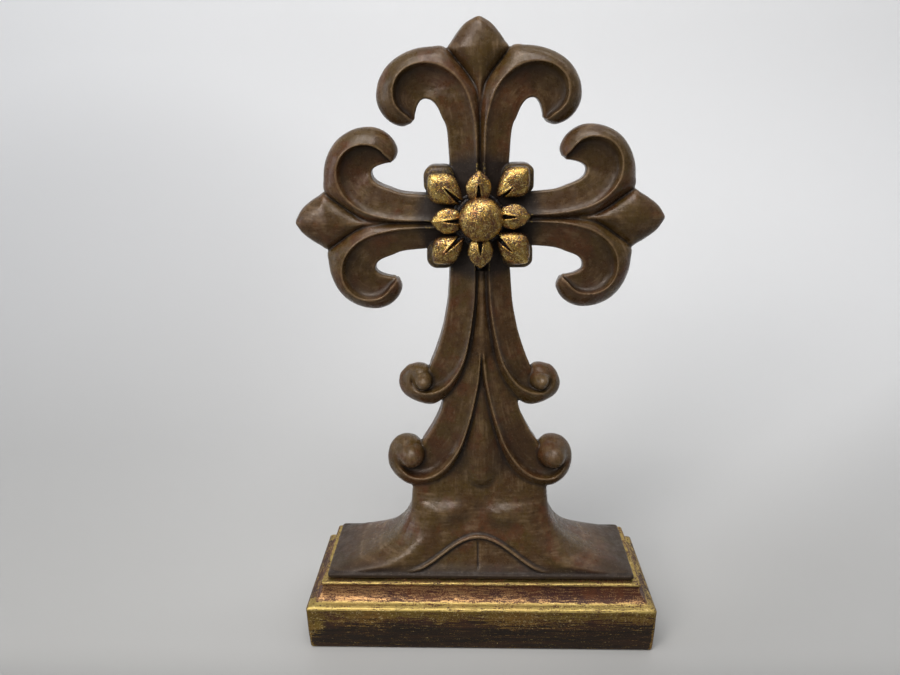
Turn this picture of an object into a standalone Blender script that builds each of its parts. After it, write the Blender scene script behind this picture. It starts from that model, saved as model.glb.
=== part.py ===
"""Altar cross: scrolled cast arms round a gilded rosette, on a stem, a flared foot and a gilded plinth.

Metres, +Z up, front facing -Y, origin at the centre of the underside. Outlines below are in
millimetres and are scaled by MM where the points are made.
"""

import math

import bmesh
import bpy
from mathutils import Matrix, Vector

MM = 0.001
GAP = 0.3  # clearance between two pieces that touch
CUT_PAST = 5.0  # how far a cutter reaches past the face it opens

# Heights of the assembly
ARM_AXIS_Z = 218.3  # the arms' centre lines
ROSETTE_Z = 219.8  # the rosette sits a little above them

# Plinth, felt and fastening
FELT_THICKNESS = 1.5
FELT_INSET = 7.0
FELT_CORNER = 3.0
PLINTH_HALF_WIDTH = 89.6
PLINTH_HALF_DEPTH = 34.8
PLINTH_BOTTOM = 0.5  # the felt sits in a rebate and stands this far below the wood
PLINTH_TOP = 35.6
# (inset from the widest outline, height) up the moulding
PLINTH_PROFILE = [
    (1.1, PLINTH_BOTTOM),
    (0.7, 1.2),
    (0.4, 7.0),
    (0.0, 15.0),
    (0.0, 23.2),
    (0.6, 24.7),
    (1.9, 25.3),
    (3.8, 25.9),
    (5.8, 27.4),
    (7.1, 29.8),
    (7.5, 32.6),
    (8.0, 34.4),
    (9.2, PLINTH_TOP),
]
PLINTH_CORNER = 1.2
COUNTERBORE_RADIUS = 9.5
COUNTERBORE_TOP = 15.0
ROD_RADIUS = 3.0
ROD_BOTTOM = 5.0
ROD_TOP = 166.0
NUT_FLATS = 10.0
NUT_HEIGHT = 5.0
WASHER_RADIUS = 8.5
WASHER_THICKNESS = 1.4

# Foot: a thin pad with a concave flared bell on it
PAD_HALF_WIDTH = 79.4
PAD_HALF_DEPTH = 25.0
PAD_BOTTOM = PLINTH_TOP + GAP
PAD_TOP = 38.5
PAD_CORNER = 1.6
PAD_EDGE = 0.6  # chamfer round the pad's top
# (height, half width, half depth, corner squareness: 2 is an ellipse, more is squarer)
BELL_LEVELS = [
    (37.0, 78.4, 24.0, 14.0),
    (38.6, 78.2, 24.0, 14.0),
    (39.8, 74.5, 23.6, 12.0),
    (41.6, 69.0, 23.0, 10.0),
    (44.0, 60.5, 22.0, 8.0),
    (47.0, 52.2, 20.7, 7.0),
    (51.0, 45.6, 19.0, 6.0),
    (56.5, 41.0, 16.8, 5.0),
    (62.5, 37.9, 14.8, 4.5),
    (68.0, 36.4, 13.4, 4.5),
    (72.0, 35.9, 12.0, 4.5),
    (75.5, 35.6, 10.4, 4.5),
    (78.0, 35.4, 9.6, 4.5),
]
FOOT_TOP = 78.0
ARCH_HALF_SPAN = 38.0
ARCH_FOOT_Z = 39.3
ARCH_RISE = 16.7
ARCH_RIB_RADIUS = 1.3
ARCH_PANEL_Y = -18.6
ARCH_GROOVE_WIDTH = 1.4
ARCH_GROOVE_DEPTH = 1.4
ARCH_PANEL_DROP = 0.6  # the recessed panel starts this far under the arch line
ARCH_PANEL_FOOT = 0.2  # and ends this far above the pad

# One scrolled leaf of a side arm: (along the arm, across it) for the outer edge, the ridge and
# the inner edge, then the ridge's height in front of the middle plane
LEAF_ROWS = [
    ((25.8, -0.4), (25.8, 1.6), (25.8, 12.6), 8.6),
    ((36.0, -0.4), (35.0, 2.0), (35.2, 13.6), 8.8),
    ((46.0, -0.4), (43.5, 3.2), (41.5, 15.7), 9.0),
    ((53.0, -0.2), (51.0, 5.2), (46.3, 17.6), 9.0),
    ((59.0, 3.6), (56.5, 8.0), (49.0, 19.8), 9.0),
    ((66.0, 8.8), (61.0, 11.9), (49.8, 22.0), 9.0),
    ((72.6, 13.9), (64.0, 16.5), (49.7, 23.3), 9.0),
    ((72.9, 19.5), (65.3, 21.5), (49.2, 24.2), 9.0),
    ((72.0, 26.0), (64.8, 27.0), (48.5, 24.8), 9.0),
    ((69.3, 32.5), (62.3, 31.7), (47.5, 25.4), 9.0),
    ((64.5, 38.2), (58.0, 35.0), (46.3, 25.9), 9.0),
    ((57.5, 42.0), (52.8, 36.2), (45.0, 26.3), 8.8),
    ((50.0, 43.0), (48.0, 35.5), (43.7, 26.6), 8.5),
    ((44.0, 41.3), (44.6, 33.3), (42.6, 26.8), 8.0),
    ((39.5, 37.5), (42.5, 30.8), (41.9, 26.9), 7.4),
    ((37.3, 32.5), (41.0, 29.4), (41.4, 26.9), 6.6),
    ((38.4, 28.8), (39.8, 28.0), (40.6, 27.0), 5.6),
]
# The bud at an arm's end: (along the arm, half width, height of its ridge)
BUD_ROWS = [
    (50.0, 1.2, 5.6),
    (56.0, 2.8, 6.6),
    (61.5, 6.2, 7.4),
    (66.0, 9.4, 8.0),
    (69.5, 12.0, 8.2),
    (72.6, 13.8, 8.2),
    (75.7, 12.0, 7.8),
    (80.0, 9.3, 7.0),
    (84.3, 5.7, 5.6),
    (87.0, 1.4, 3.6),
]
# Core inside an arm: half width at the root and at the bud, and half depth
ARM_CORE = (8.0, 5.0, 5.4)
# How the top arm differs: its leaves and bud sit further out and the leaves spread wider
TOP_LEAF_STRETCH, TOP_LEAF_SLIDE, TOP_LEAF_SPREAD = 0.96, 7.0, 1.08
TOP_BUD_STRETCH, TOP_BUD_SLIDE = 0.87, 13.0

# Upper pair of stem leaves, as (across, height) points like LEAF_ROWS
UPPER_STEM_ROWS = [
    ((-0.5, 194.3), (3.3, 194.3), (14.3, 194.3), 9.0),
    ((-0.5, 181.0), (3.9, 181.0), (15.3, 181.0), 9.2),
    ((-0.5, 168.0), (5.2, 168.0), (17.4, 168.6), 9.6),
    ((0.3, 158.0), (7.0, 158.0), (19.8, 159.5), 10.0),
    ((2.5, 149.0), (9.8, 149.5), (22.5, 151.8), 10.3),
    ((6.0, 140.5), (13.5, 142.8), (24.5, 147.0), 10.5),
    ((10.5, 132.5), (18.0, 137.0), (25.4, 143.8), 10.5),
    ((16.0, 126.0), (23.0, 133.8), (26.3, 141.0), 10.5),
    ((22.8, 123.0), (28.0, 132.8), (27.8, 138.6), 10.2),
    ((31.0, 125.6), (32.3, 134.0), (29.8, 137.6), 10.0),
    ((37.8, 129.0), (35.0, 137.0), (31.8, 138.0), 9.5),
    ((40.7, 134.5), (35.7, 140.0), (33.0, 139.8), 9.0),
    ((39.5, 140.5), (34.6, 142.6), (33.2, 141.8), 8.0),
    ((35.0, 145.2), (32.5, 144.3), (32.0, 143.3), 7.0),
]
# Lower pair, which springs from under the upper one
LOWER_STEM_ROWS = [
    ((-0.5, 156.0), (1.2, 156.0), (7.0, 156.0), 5.6),
    ((-0.4, 147.0), (1.5, 146.0), (9.5, 147.0), 6.6),
    ((-0.3, 138.0), (2.2, 137.0), (14.0, 138.0), 7.6),
    ((0.3, 129.0), (3.7, 129.5), (18.0, 129.5), 8.6),
    ((1.3, 121.0), (5.3, 121.0), (20.3, 121.3), 9.5),
    ((3.0, 113.0), (7.8, 112.8), (23.2, 114.8), 10.0),
    ((5.2, 104.0), (11.2, 104.4), (26.4, 109.0), 10.3),
    ((8.8, 95.0), (15.4, 96.9), (29.3, 104.5), 10.5),
    ((14.0, 86.5), (20.3, 90.8), (30.5, 101.0), 10.5),
    ((21.5, 80.3), (25.9, 87.0), (31.5, 97.5), 10.5),
    ((29.5, 78.4), (31.4, 86.0), (33.5, 95.2), 10.5),
    ((37.5, 78.6), (36.5, 87.0), (36.2, 94.3), 10.5),
    ((43.4, 82.3), (40.3, 90.0), (38.8, 94.8), 10.5),
    ((47.3, 88.2), (42.0, 94.0), (40.6, 96.8), 10.2),
    ((48.5, 94.8), (42.0, 98.5), (40.8, 99.0), 10.0),
    ((46.3, 101.5), (40.5, 101.8), (39.5, 100.8), 9.0),
    ((42.0, 105.8), (38.5, 103.2), (38.2, 102.2), 8.0),
]
# The scrolls' eyes: (across, height, radius, front reach)
UPPER_EYE = (29.3, 141.9, 5.2, 10.6)
LOWER_EYE = (37.6, 98.9, 8.0, 12.2)
# Stem core behind the leaves: (height, half width, half depth)
STEM_CORE = [(194.3, 9.0, 5.4), (150.0, 9.0, 5.4), (122.0, 14.0, 5.6), (96.0, 20.0, 6.0), (78.3, 27.0, 7.0)]
# Drop-shaped tongue between the lower leaves: (height, half width, front reach)
TONGUE = [
    (150.0, 0.8, 5.9),
    (130.0, 2.0, 6.3),
    (115.0, 3.8, 7.2),
    (102.0, 6.0, 8.8),
    (92.0, 7.4, 10.2),
    (86.0, 7.2, 10.4),
    (82.5, 5.4, 9.4),
    (80.6, 2.6, 7.8),
]

TONGUE_BACK = 2.0  # its flat back is buried in the core

# Crossing block and rosette
BLOCK_HALF = 25.2
BLOCK_FRONT = 9.0
BLOCK_BACK = 8.0
BLOCK_CORNER = 4.0
# (inset, y) from its front face to its back
BLOCK_PROFILE = [(2.0, -BLOCK_FRONT), (0.0, -4.0), (0.0, 5.0), (2.0, BLOCK_BACK)]
CORNER_PETAL = [(7.0, 10.6), (9.5, 19.3), (16.0, 22.3), (21.7, 21.7), (22.3, 16.0), (19.3, 9.5), (10.6, 7.0)]
CORNER_PETAL_SLIT = 15.3  # where the slit ends along X and Z
SIDE_PETAL = [(-4.0, 10.5), (-5.9, 15.0), (-4.2, 19.4), (0.0, 22.4), (4.2, 19.4), (5.9, 15.0), (4.0, 10.5)]
SIDE_PETAL_SLIT = 15.4
PETAL_BACK = BLOCK_FRONT + GAP
PETAL_EDGE = 12.4  # front reach of a petal's edge
PETAL_CROWN = 15.6  # and of its highest part
SLIT_HALF_WIDTH = 1.5
SLIT_START = 5.0
SLIT_FLOOR = 0.4  # above the petal's edge
CORNER_HUB_RADIUS = 13.0
CORNER_HUB_FRONT = 10.8
SIDE_HUB_RADIUS = 12.0
SIDE_HUB_FRONT = 12.4
BOSS_RADIUS = 10.2
BOSS_FRONT = 21.0
BOSS_RIM_HEIGHT = 1.4
BOSS_RIM_INSET = 0.6
SCREW_RADIUS = 2.0
SCREW_FRONT = 17.0
SCREW_HEAD_RADIUS = 4.5
SCREW_HEAD_HEIGHT = 3.2
BACK_WASHER_RADIUS = 7.5
BACK_WASHER_THICKNESS = 1.2

# Dowels between the crossing block and the four limbs
DOWEL_RADIUS = 2.4
DOWEL_HALF_LENGTH = 9.0
DOWEL_END_ROOM = 0.6

STATIONS_PER_ROW = 2
ROUND_SEGMENTS = 32
SMALL_ROUND_SEGMENTS = 20

# (base colour, roughness, metallic)
PATINA = ((0.075, 0.044, 0.024), 0.42, 0.0)
DARK_PATINA = ((0.045, 0.028, 0.018), 0.5, 0.0)
GOLD_LEAF = ((0.72, 0.48, 0.16), 0.34, 1.0)
PLINTH_GILDING = ((0.42, 0.26, 0.09), 0.4, 0.85)
STEEL = ((0.55, 0.55, 0.56), 0.35, 1.0)
FELT = ((0.03, 0.09, 0.045), 0.95, 0.0)


def clear_scene():
    for item in list(bpy.data.objects):
        bpy.data.objects.remove(item)


def finish_material(name, finish):
    colour, roughness, metallic = finish
    material = bpy.data.materials.new(name + "_finish")
    material.use_nodes = True
    shader = material.node_tree.nodes["Principled BSDF"]
    shader.inputs["Base Color"].default_value = (*colour, 1.0)
    shader.inputs["Roughness"].default_value = roughness
    shader.inputs["Metallic"].default_value = metallic
    return material


def object_from(name, body, finish=None):
    """A scene object from a bmesh in millimetres. Without a finish it is a hidden helper."""
    bmesh.ops.recalc_face_normals(body, faces=body.faces)
    mesh = bpy.data.meshes.new(name)
    bmesh.ops.scale(body, vec=(MM, MM, MM), verts=body.verts)
    body.to_mesh(mesh)
    body.free()
    item = bpy.data.objects.new(name, mesh)
    bpy.context.scene.collection.objects.link(item)
    if finish:
        mesh.materials.append(finish_material(name, finish))
        mesh.shade_smooth()
        mesh.set_sharp_from_angle(angle=math.radians(38))
    else:
        item.hide_render = True
        item.display_type = "WIRE"
    return item


def combine(item, operation, *helpers):
    for helper in helpers:
        step = item.modifiers.new(f"{operation.lower()} {helper.name}", "BOOLEAN")
        step.operation = operation
        step.object = helper


def loft(rings):
    """A closed body through rings that all have the same number of points."""
    body = bmesh.new()
    levels = [[body.verts.new(point) for point in ring] for ring in rings]
    for lower, upper in zip(levels, levels[1:]):
        for i in range(len(lower)):
            j = (i + 1) % len(lower)
            body.faces.new((lower[i], lower[j], upper[j], upper[i]))
    body.faces.new(levels[0])
    body.faces.new(levels[-1])
    return body


def cylinder(radius, start, end, segments=ROUND_SEGMENTS):
    """A round bar between two points."""
    start, end = Vector(start), Vector(end)
    turn = (end - start).to_track_quat("Z", "Y")
    rings = []
    for centre in (start, end):
        angles = [2 * math.pi * i / segments for i in range(segments)]
        rings.append([centre + turn @ Vector((radius * math.cos(a), radius * math.sin(a), 0)) for a in angles])
    return loft(rings)


def turned(profile, centre_z, segments=ROUND_SEGMENTS):
    """A body turned about a front-to-back axis, from (radius, reach in front of y = 0) points."""
    rings = []
    for radius, front in profile:
        angles = [2 * math.pi * i / segments for i in range(segments)]
        rings.append([(radius * math.cos(a), -front, centre_z + radius * math.sin(a)) for a in angles])
    return loft(rings)


def smooth_rows(rows, steps):
    """Catmull-Rom points through rows of numbers, with the rows themselves among them."""
    padded = [rows[0], *rows, rows[-1]]
    result = []
    for before, start, end, after in zip(padded, padded[1:], padded[2:], padded[3:]):
        for step in range(steps):
            t = step / steps
            weights = (
                (-t + 2 * t**2 - t**3) / 2,
                (2 - 5 * t**2 + 3 * t**3) / 2,
                (t + 4 * t**2 - 3 * t**3) / 2,
                (-(t**2) + t**3) / 2,
            )
            parts = zip(before, start, end, after)
            result.append([sum(w * p for w, p in zip(weights, four)) for four in parts])
    result.append(list(rows[-1]))
    return result


def mix(a, b, share):
    return tuple(p + (q - p) * share for p, q in zip(a, b))


def leaf_ring(outer, ridge, inner, height):
    """One section of a leaf as (along, across, y): a rounded outer side, a ridge and a cove."""
    back = 0.85 * height
    front_side = [
        (outer, -0.22 * height),
        (mix(outer, ridge, 0.3), -0.76 * height),
        (ridge, -height),
        (mix(ridge, inner, 0.3), -0.66 * height),
        (mix(ridge, inner, 0.7), -0.54 * height),
        (inner, -0.44 * height),
    ]
    back_side = [
        (inner, 0.4 * back),
        (mix(ridge, inner, 0.5), 0.72 * back),
        (ridge, back),
        (mix(outer, ridge, 0.3), 0.76 * back),
        (outer, 0.22 * back),
    ]
    return [(*place, y) for place, y in front_side + back_side]


def leaf_body(rows, locate):
    """A leaf lofted through its rows. locate turns (along, across, y) into a point."""
    flat = [(*outer, *ridge, *inner, height) for outer, ridge, inner, height in rows]
    rings = []
    for o1, o2, r1, r2, i1, i2, height in smooth_rows(flat, STATIONS_PER_ROW):
        ring = leaf_ring((o1, o2), (r1, r2), (i1, i2), height)
        rings.append([locate(*point) for point in ring])
    return loft(rings)


def bud_body(rows, locate):
    """A lozenge with a soft ridge down its middle, front and back."""
    rings = []
    for along, half, height in rows:
        section = [(half, -0.3), (0.55, -0.8), (0.0, -1.0), (-0.55, -0.8), (-half, -0.3)]
        section = [(across if abs(across) == half else across * half, y * height) for across, y in section]
        section += [(across, -0.85 * y) for across, y in reversed(section)]
        rings.append([locate(along, across, y) for across, y in section])
    return loft(rings)


def arm_locator(direction):
    """Places (along, across, y) for an arm that points up, left or right."""
    if direction == "top":
        return lambda along, across, y: (across, y, ARM_AXIS_Z + along)
    sign = 1 if direction == "right" else -1
    return lambda along, across, y: (sign * along, y, ARM_AXIS_Z + across)


def flipped(locate):
    return lambda along, across, y: locate(along, -across, y)


def stretched(rows, stretch, slide, spread):
    """Leaf rows moved and stretched along the arm, and spread across it."""
    moved = []
    for *points, height in rows:
        moved.append((*[(a * stretch + slide, c * spread) for a, c in points], height))
    start = [(rows[0][i][0], moved[0][i][1]) for i in range(3)]
    moved[0] = (*start, rows[0][3])
    return moved


def dowel_hole(name, start, end):
    """A cutter for one dowel's hole."""
    return object_from(name, cylinder(DOWEL_RADIUS + GAP, start, end, SMALL_ROUND_SEGMENTS))


def flat_section(locate, along, half_width, half_depth):
    """Four corners of an arm's core at one place along it."""
    corners = ((1, -1), (1, 1), (-1, 1), (-1, -1))
    return [locate(along, side * half_width, face * half_depth) for side, face in corners]


def make_arm(direction):
    name = direction + "_arm"
    locate = arm_locator(direction)
    leaf_rows, bud_rows = LEAF_ROWS, BUD_ROWS
    root = BLOCK_HALF + GAP
    if direction == "top":
        root = ROSETTE_Z + BLOCK_HALF + GAP - ARM_AXIS_Z
        leaf_rows = stretched(LEAF_ROWS, TOP_LEAF_STRETCH, TOP_LEAF_SLIDE, TOP_LEAF_SPREAD)
        bud_rows = [(a * TOP_BUD_STRETCH + TOP_BUD_SLIDE, w, h) for a, w, h in BUD_ROWS]
    shift = root - leaf_rows[0][0][0]
    first = [(a + shift, c) for a, c in leaf_rows[0][:3]]
    leaf_rows = [(*first, leaf_rows[0][3]), *leaf_rows[1:]]
    arm = object_from(name, leaf_body(leaf_rows, locate), PATINA)
    root_half, tip_half, core_depth = ARM_CORE
    core = loft([
        flat_section(locate, root, root_half, core_depth),
        flat_section(locate, bud_rows[2][0], tip_half, core_depth),
    ])
    helpers = [
        object_from(name + "_core", core),
        object_from(name + "_bud", bud_body(bud_rows, locate)),
        object_from(name + "_second_leaf", leaf_body(leaf_rows, flipped(locate))),
    ]
    combine(arm, "UNION", *helpers)
    hole_end = root + DOWEL_HALF_LENGTH + DOWEL_END_ROOM
    hole = dowel_hole(name + "_hole", locate(root - CUT_PAST, 0, 0), locate(hole_end, 0, 0))
    combine(arm, "DIFFERENCE", hole)


def rounded_rectangle(half_width, half_depth, corner, z, steps=3):
    """Points round a rectangle with rounded corners, at one height."""
    points = []
    for quarter, (sx, sy) in enumerate(((1, 1), (-1, 1), (-1, -1), (1, -1))):
        for step in range(steps + 1):
            angle = math.pi / 2 * (quarter + step / steps)
            x = sx * (half_width - corner) + corner * math.cos(angle)
            y = sy * (half_depth - corner) + corner * math.sin(angle)
            points.append((x, y, z))
    return points


def make_felt():
    half_width = PLINTH_HALF_WIDTH - FELT_INSET
    half_depth = PLINTH_HALF_DEPTH - FELT_INSET
    rings = [rounded_rectangle(half_width, half_depth, FELT_CORNER, z) for z in (0.0, FELT_THICKNESS)]
    object_from("felt_pad", loft(rings), FELT)


def make_plinth():
    rings = []
    for inset, z in PLINTH_PROFILE:
        rings.append(rounded_rectangle(PLINTH_HALF_WIDTH - inset, PLINTH_HALF_DEPTH - inset, PLINTH_CORNER, z))
    plinth = object_from("plinth", loft(rings), PLINTH_GILDING)
    bore = cylinder(ROD_RADIUS + GAP, (0, 0, -CUT_PAST), (0, 0, PLINTH_TOP + CUT_PAST))
    counterbore = cylinder(COUNTERBORE_RADIUS, (0, 0, -CUT_PAST), (0, 0, COUNTERBORE_TOP))
    room = FELT_INSET - GAP
    half_width, half_depth = PLINTH_HALF_WIDTH - room, PLINTH_HALF_DEPTH - room
    levels = (-CUT_PAST, FELT_THICKNESS + GAP)
    rebate = [rounded_rectangle(half_width, half_depth, FELT_CORNER, z) for z in levels]
    combine(
        plinth,
        "DIFFERENCE",
        object_from("plinth_bore", bore),
        object_from("plinth_counterbore", counterbore),
        object_from("plinth_felt_rebate", loft(rebate)),
    )


def squarish_ring(level, segments=40):
    """A rounded rectangle as a superellipse, denser towards its corners."""
    z, half_width, half_depth, power = level
    points = []
    for i in range(segments):
        angle = 2 * math.pi * (i + 0.5) / segments
        c, s = math.cos(angle), math.sin(angle)
        x = half_width * math.copysign(abs(c) ** (2 / power), c)
        y = half_depth * math.copysign(abs(s) ** (2 / power), s)
        points.append((x, y, z))
    return points


def bell_depth(z):
    """How far the bell's front stands from the middle plane at a height."""
    for (z0, _, d0, _), (z1, _, d1, _) in zip(BELL_LEVELS, BELL_LEVELS[1:]):
        if z <= z1:
            return d0 + (d1 - d0) * (z - z0) / (z1 - z0)
    return BELL_LEVELS[-1][2]


def arch_height(x):
    share = min(1.0, abs(x) / ARCH_HALF_SPAN)
    return ARCH_FOOT_Z + ARCH_RISE * (0.5 + 0.5 * math.cos(math.pi * share))


def arch_line(steps=20):
    return [ARCH_HALF_SPAN * (2 * i / steps - 1) for i in range(steps + 1)]


def arch_rib():
    """A round rib that follows the arch over the bell's front."""
    sides = 8
    rings = []
    for x in arch_line():
        z = arch_height(x)
        y = -bell_depth(z)
        angles = [2 * math.pi * i / sides for i in range(sides)]
        around = [(ARCH_RIB_RADIUS * math.cos(a), ARCH_RIB_RADIUS * math.sin(a)) for a in angles]
        rings.append([(x, y + dy, z + dz) for dy, dz in around])
    return loft(rings)


def arch_recess():
    """A cutter for the flat panel under the arch."""
    floor = PAD_TOP + ARCH_PANEL_FOOT
    inside = [(x, max(arch_height(x) - ARCH_PANEL_DROP, floor)) for x in arch_line()][1:-1]
    outline = [(inside[0][0], floor), *inside, (inside[-1][0], floor)]
    unique = [point for i, point in enumerate(outline) if point != outline[i - 1]]
    return loft([[(x, y, z) for x, z in unique] for y in (ARCH_PANEL_Y, -PAD_HALF_DEPTH - CUT_PAST)])


def box_body(low, high):
    x0, y0, z0 = low
    x1, y1, z1 = high
    corners = ((x0, y0), (x1, y0), (x1, y1), (x0, y1))
    return loft([[(x, y, z) for x, y in corners] for z in (z0, z1)])


def make_foot():
    foot = object_from("foot", loft([squarish_ring(level) for level in BELL_LEVELS]), PATINA)
    pad_levels = ((0.0, PAD_BOTTOM), (0.0, PAD_TOP - PAD_EDGE), (PAD_EDGE, PAD_TOP))
    pad = [
        rounded_rectangle(PAD_HALF_WIDTH - inset, PAD_HALF_DEPTH - inset, PAD_CORNER, z)
        for inset, z in pad_levels
    ]
    groove_x = ARCH_GROOVE_WIDTH / 2
    groove = box_body(
        (-groove_x, -PAD_HALF_DEPTH - CUT_PAST, PAD_TOP + 1.0),
        (groove_x, ARCH_PANEL_Y + ARCH_GROOVE_DEPTH, ARCH_FOOT_Z + ARCH_RISE - 3.0),
    )
    bore = cylinder(ROD_RADIUS + GAP, (0, 0, PAD_BOTTOM - CUT_PAST), (0, 0, FOOT_TOP + CUT_PAST))
    combine(foot, "UNION", object_from("foot_pad_body", loft(pad)))
    combine(foot, "DIFFERENCE", object_from("foot_arch_recess", arch_recess()))
    combine(foot, "UNION", object_from("foot_arch_rib", arch_rib()))
    combine(
        foot,
        "DIFFERENCE",
        object_from("foot_arch_groove", groove),
        object_from("foot_bore", bore),
    )


def stem_locator(side):
    return lambda across, height, y: (side * across, y, height)


def eye_body(eye, side):
    """A scroll's eye: a ball stretched front to back."""
    across, height, radius, front = eye
    body = bmesh.new()
    bmesh.ops.create_uvsphere(body, u_segments=16, v_segments=10, radius=radius)
    bmesh.ops.scale(body, vec=(1, (front + 0.85 * front) / 2 / radius, 1), verts=body.verts)
    bmesh.ops.translate(body, vec=(side * across, -0.075 * front, height), verts=body.verts)
    return body


def tongue_body():
    section = ((-1.0, 0.0), (-0.95, 0.55), (-0.6, 0.88), (0.0, 1.0), (0.6, 0.88), (0.95, 0.55), (1.0, 0.0))
    rings = []
    for z, half, front in TONGUE:
        reach = front - TONGUE_BACK
        rings.append([(half * across, -TONGUE_BACK - reach * rise, z) for across, rise in section])
    return loft(rings)


def make_stem():
    core = loft([[(w, -d, z), (w, d, z), (-w, d, z), (-w, -d, z)] for z, w, d in STEM_CORE])
    stem = object_from("stem", core, PATINA)
    helpers = [object_from("stem_tongue", tongue_body())]
    for side, word in ((1, "right"), (-1, "left")):
        locate = stem_locator(side)
        helpers += [
            object_from(f"stem_lower_leaf_{word}", leaf_body(LOWER_STEM_ROWS, locate)),
            object_from(f"stem_upper_leaf_{word}", leaf_body(UPPER_STEM_ROWS, locate)),
            object_from(f"stem_lower_eye_{word}", eye_body(LOWER_EYE, side)),
            object_from(f"stem_upper_eye_{word}", eye_body(UPPER_EYE, side)),
        ]
    combine(stem, "UNION", *helpers)
    foot_clearance = box_body((-60, -30, 60), (60, 30, FOOT_TOP + GAP))
    rod_hole = cylinder(ROD_RADIUS + GAP, (0, 0, FOOT_TOP - CUT_PAST), (0, 0, ROD_TOP + 1.0))
    top = ROSETTE_Z - BLOCK_HALF - GAP
    dowel_end = top - DOWEL_HALF_LENGTH - DOWEL_END_ROOM
    combine(
        stem,
        "DIFFERENCE",
        object_from("stem_foot_clearance", foot_clearance),
        object_from("stem_rod_hole", rod_hole),
        dowel_hole("stem_dowel_hole", (0, 0, top + CUT_PAST), (0, 0, dowel_end)),
    )


def block_outline(inset, y):
    ring = rounded_rectangle(BLOCK_HALF - inset, BLOCK_HALF - inset, BLOCK_CORNER, 0)
    return [(x, y, ROSETTE_Z + z) for x, z, _ in ring]


def dowel_ends(direction):
    """The two ends of the dowel on one side of the crossing block."""
    reach = BLOCK_HALF + GAP / 2
    ends = (reach - DOWEL_HALF_LENGTH, reach + DOWEL_HALF_LENGTH)
    if direction in ("top", "stem"):
        sign = 1 if direction == "top" else -1
        return [(0, 0, ROSETTE_Z + sign * end) for end in ends]
    sign = 1 if direction == "right" else -1
    return [(sign * end, 0, ARM_AXIS_Z) for end in ends]


def screw_hole_cutter(name, back, front):
    """A cutter for the rosette screw's hole between two reaches in front of y = 0."""
    radius = SCREW_RADIUS + GAP
    return object_from(name, turned([(radius, back), (radius, front)], ROSETTE_Z, SMALL_ROUND_SEGMENTS))


def make_crossing_block():
    block = object_from("crossing_block", loft([block_outline(*level) for level in BLOCK_PROFILE]), DARK_PATINA)
    cutters = []
    for direction in ("top", "left", "right", "stem"):
        inner, outer = (Vector(end) for end in dowel_ends(direction))
        step = (outer - inner).normalized()
        start = inner - step * DOWEL_END_ROOM
        cutters.append(dowel_hole(f"block_hole_{direction}", start, outer + step))
    screw_hole = screw_hole_cutter("block_screw_hole", -BLOCK_BACK - CUT_PAST, BLOCK_FRONT + CUT_PAST)
    combine(block, "DIFFERENCE", *cutters, screw_hole)


def make_dowels():
    for direction in ("top", "left", "right", "stem"):
        start, end = dowel_ends(direction)
        object_from("dowel_" + direction, cylinder(DOWEL_RADIUS, start, end, SMALL_ROUND_SEGMENTS), STEEL)


def petal_body(outline, back, rotate):
    """A domed petal: its outline at the back, the same at the edge's height, then two steps in."""
    middle = Vector((sum(x for x, _ in outline), sum(z for _, z in outline))) / len(outline)
    shoulder = 0.3 * PETAL_EDGE + 0.7 * PETAL_CROWN
    levels = ((1.0, back), (1.0, PETAL_EDGE), (0.82, shoulder), (0.5, PETAL_CROWN))
    rings = []
    for share, front in levels:
        spots = [middle + (Vector(point) - middle) * share for point in outline]
        rings.append([rotate(x, -front, z) for x, z in spots])
    return loft(rings)


def petal_slit(end, diagonal, rotate):
    """A wedge cutter that opens a petal's slit from its inner end."""
    reach = end * math.sqrt(2) if diagonal else end
    turn = Matrix.Rotation(math.radians(-45 if diagonal else 0), 2)
    wedge = ((SLIT_HALF_WIDTH, SLIT_START), (-SLIT_HALF_WIDTH, SLIT_START), (0.0, reach))
    outline = [turn @ Vector(point) for point in wedge]
    levels = (PETAL_EDGE + SLIT_FLOOR, PETAL_CROWN + CUT_PAST)
    return loft([[rotate(x, -front, z) for x, z in outline] for front in levels])


def quarter_turn(quarter):
    """Turns a point of the rosette by a number of right angles about its centre."""
    c, s = ((1, 0), (0, 1), (-1, 0), (0, -1))[quarter]
    return lambda x, y, z: (x * c - z * s, y, ROSETTE_Z + x * s + z * c)


def make_petal_ring(name, outline, slit_end, diagonal, hub):
    hub_radius, hub_back, hub_front = hub
    ring = object_from(name, turned([(hub_radius, hub_back), (hub_radius, hub_front)], ROSETTE_Z), GOLD_LEAF)
    petals, slits = [], []
    for quarter in range(4):
        rotate = quarter_turn(quarter)
        petals.append(object_from(f"{name}_{quarter}", petal_body(outline, hub_back, rotate)))
        slits.append(object_from(f"{name}_slit_{quarter}", petal_slit(slit_end, diagonal, rotate)))
    combine(ring, "UNION", *petals)
    combine(ring, "DIFFERENCE", *slits, screw_hole_cutter(name + "_screw_hole", 0.0, 2 * BOSS_FRONT))


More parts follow.
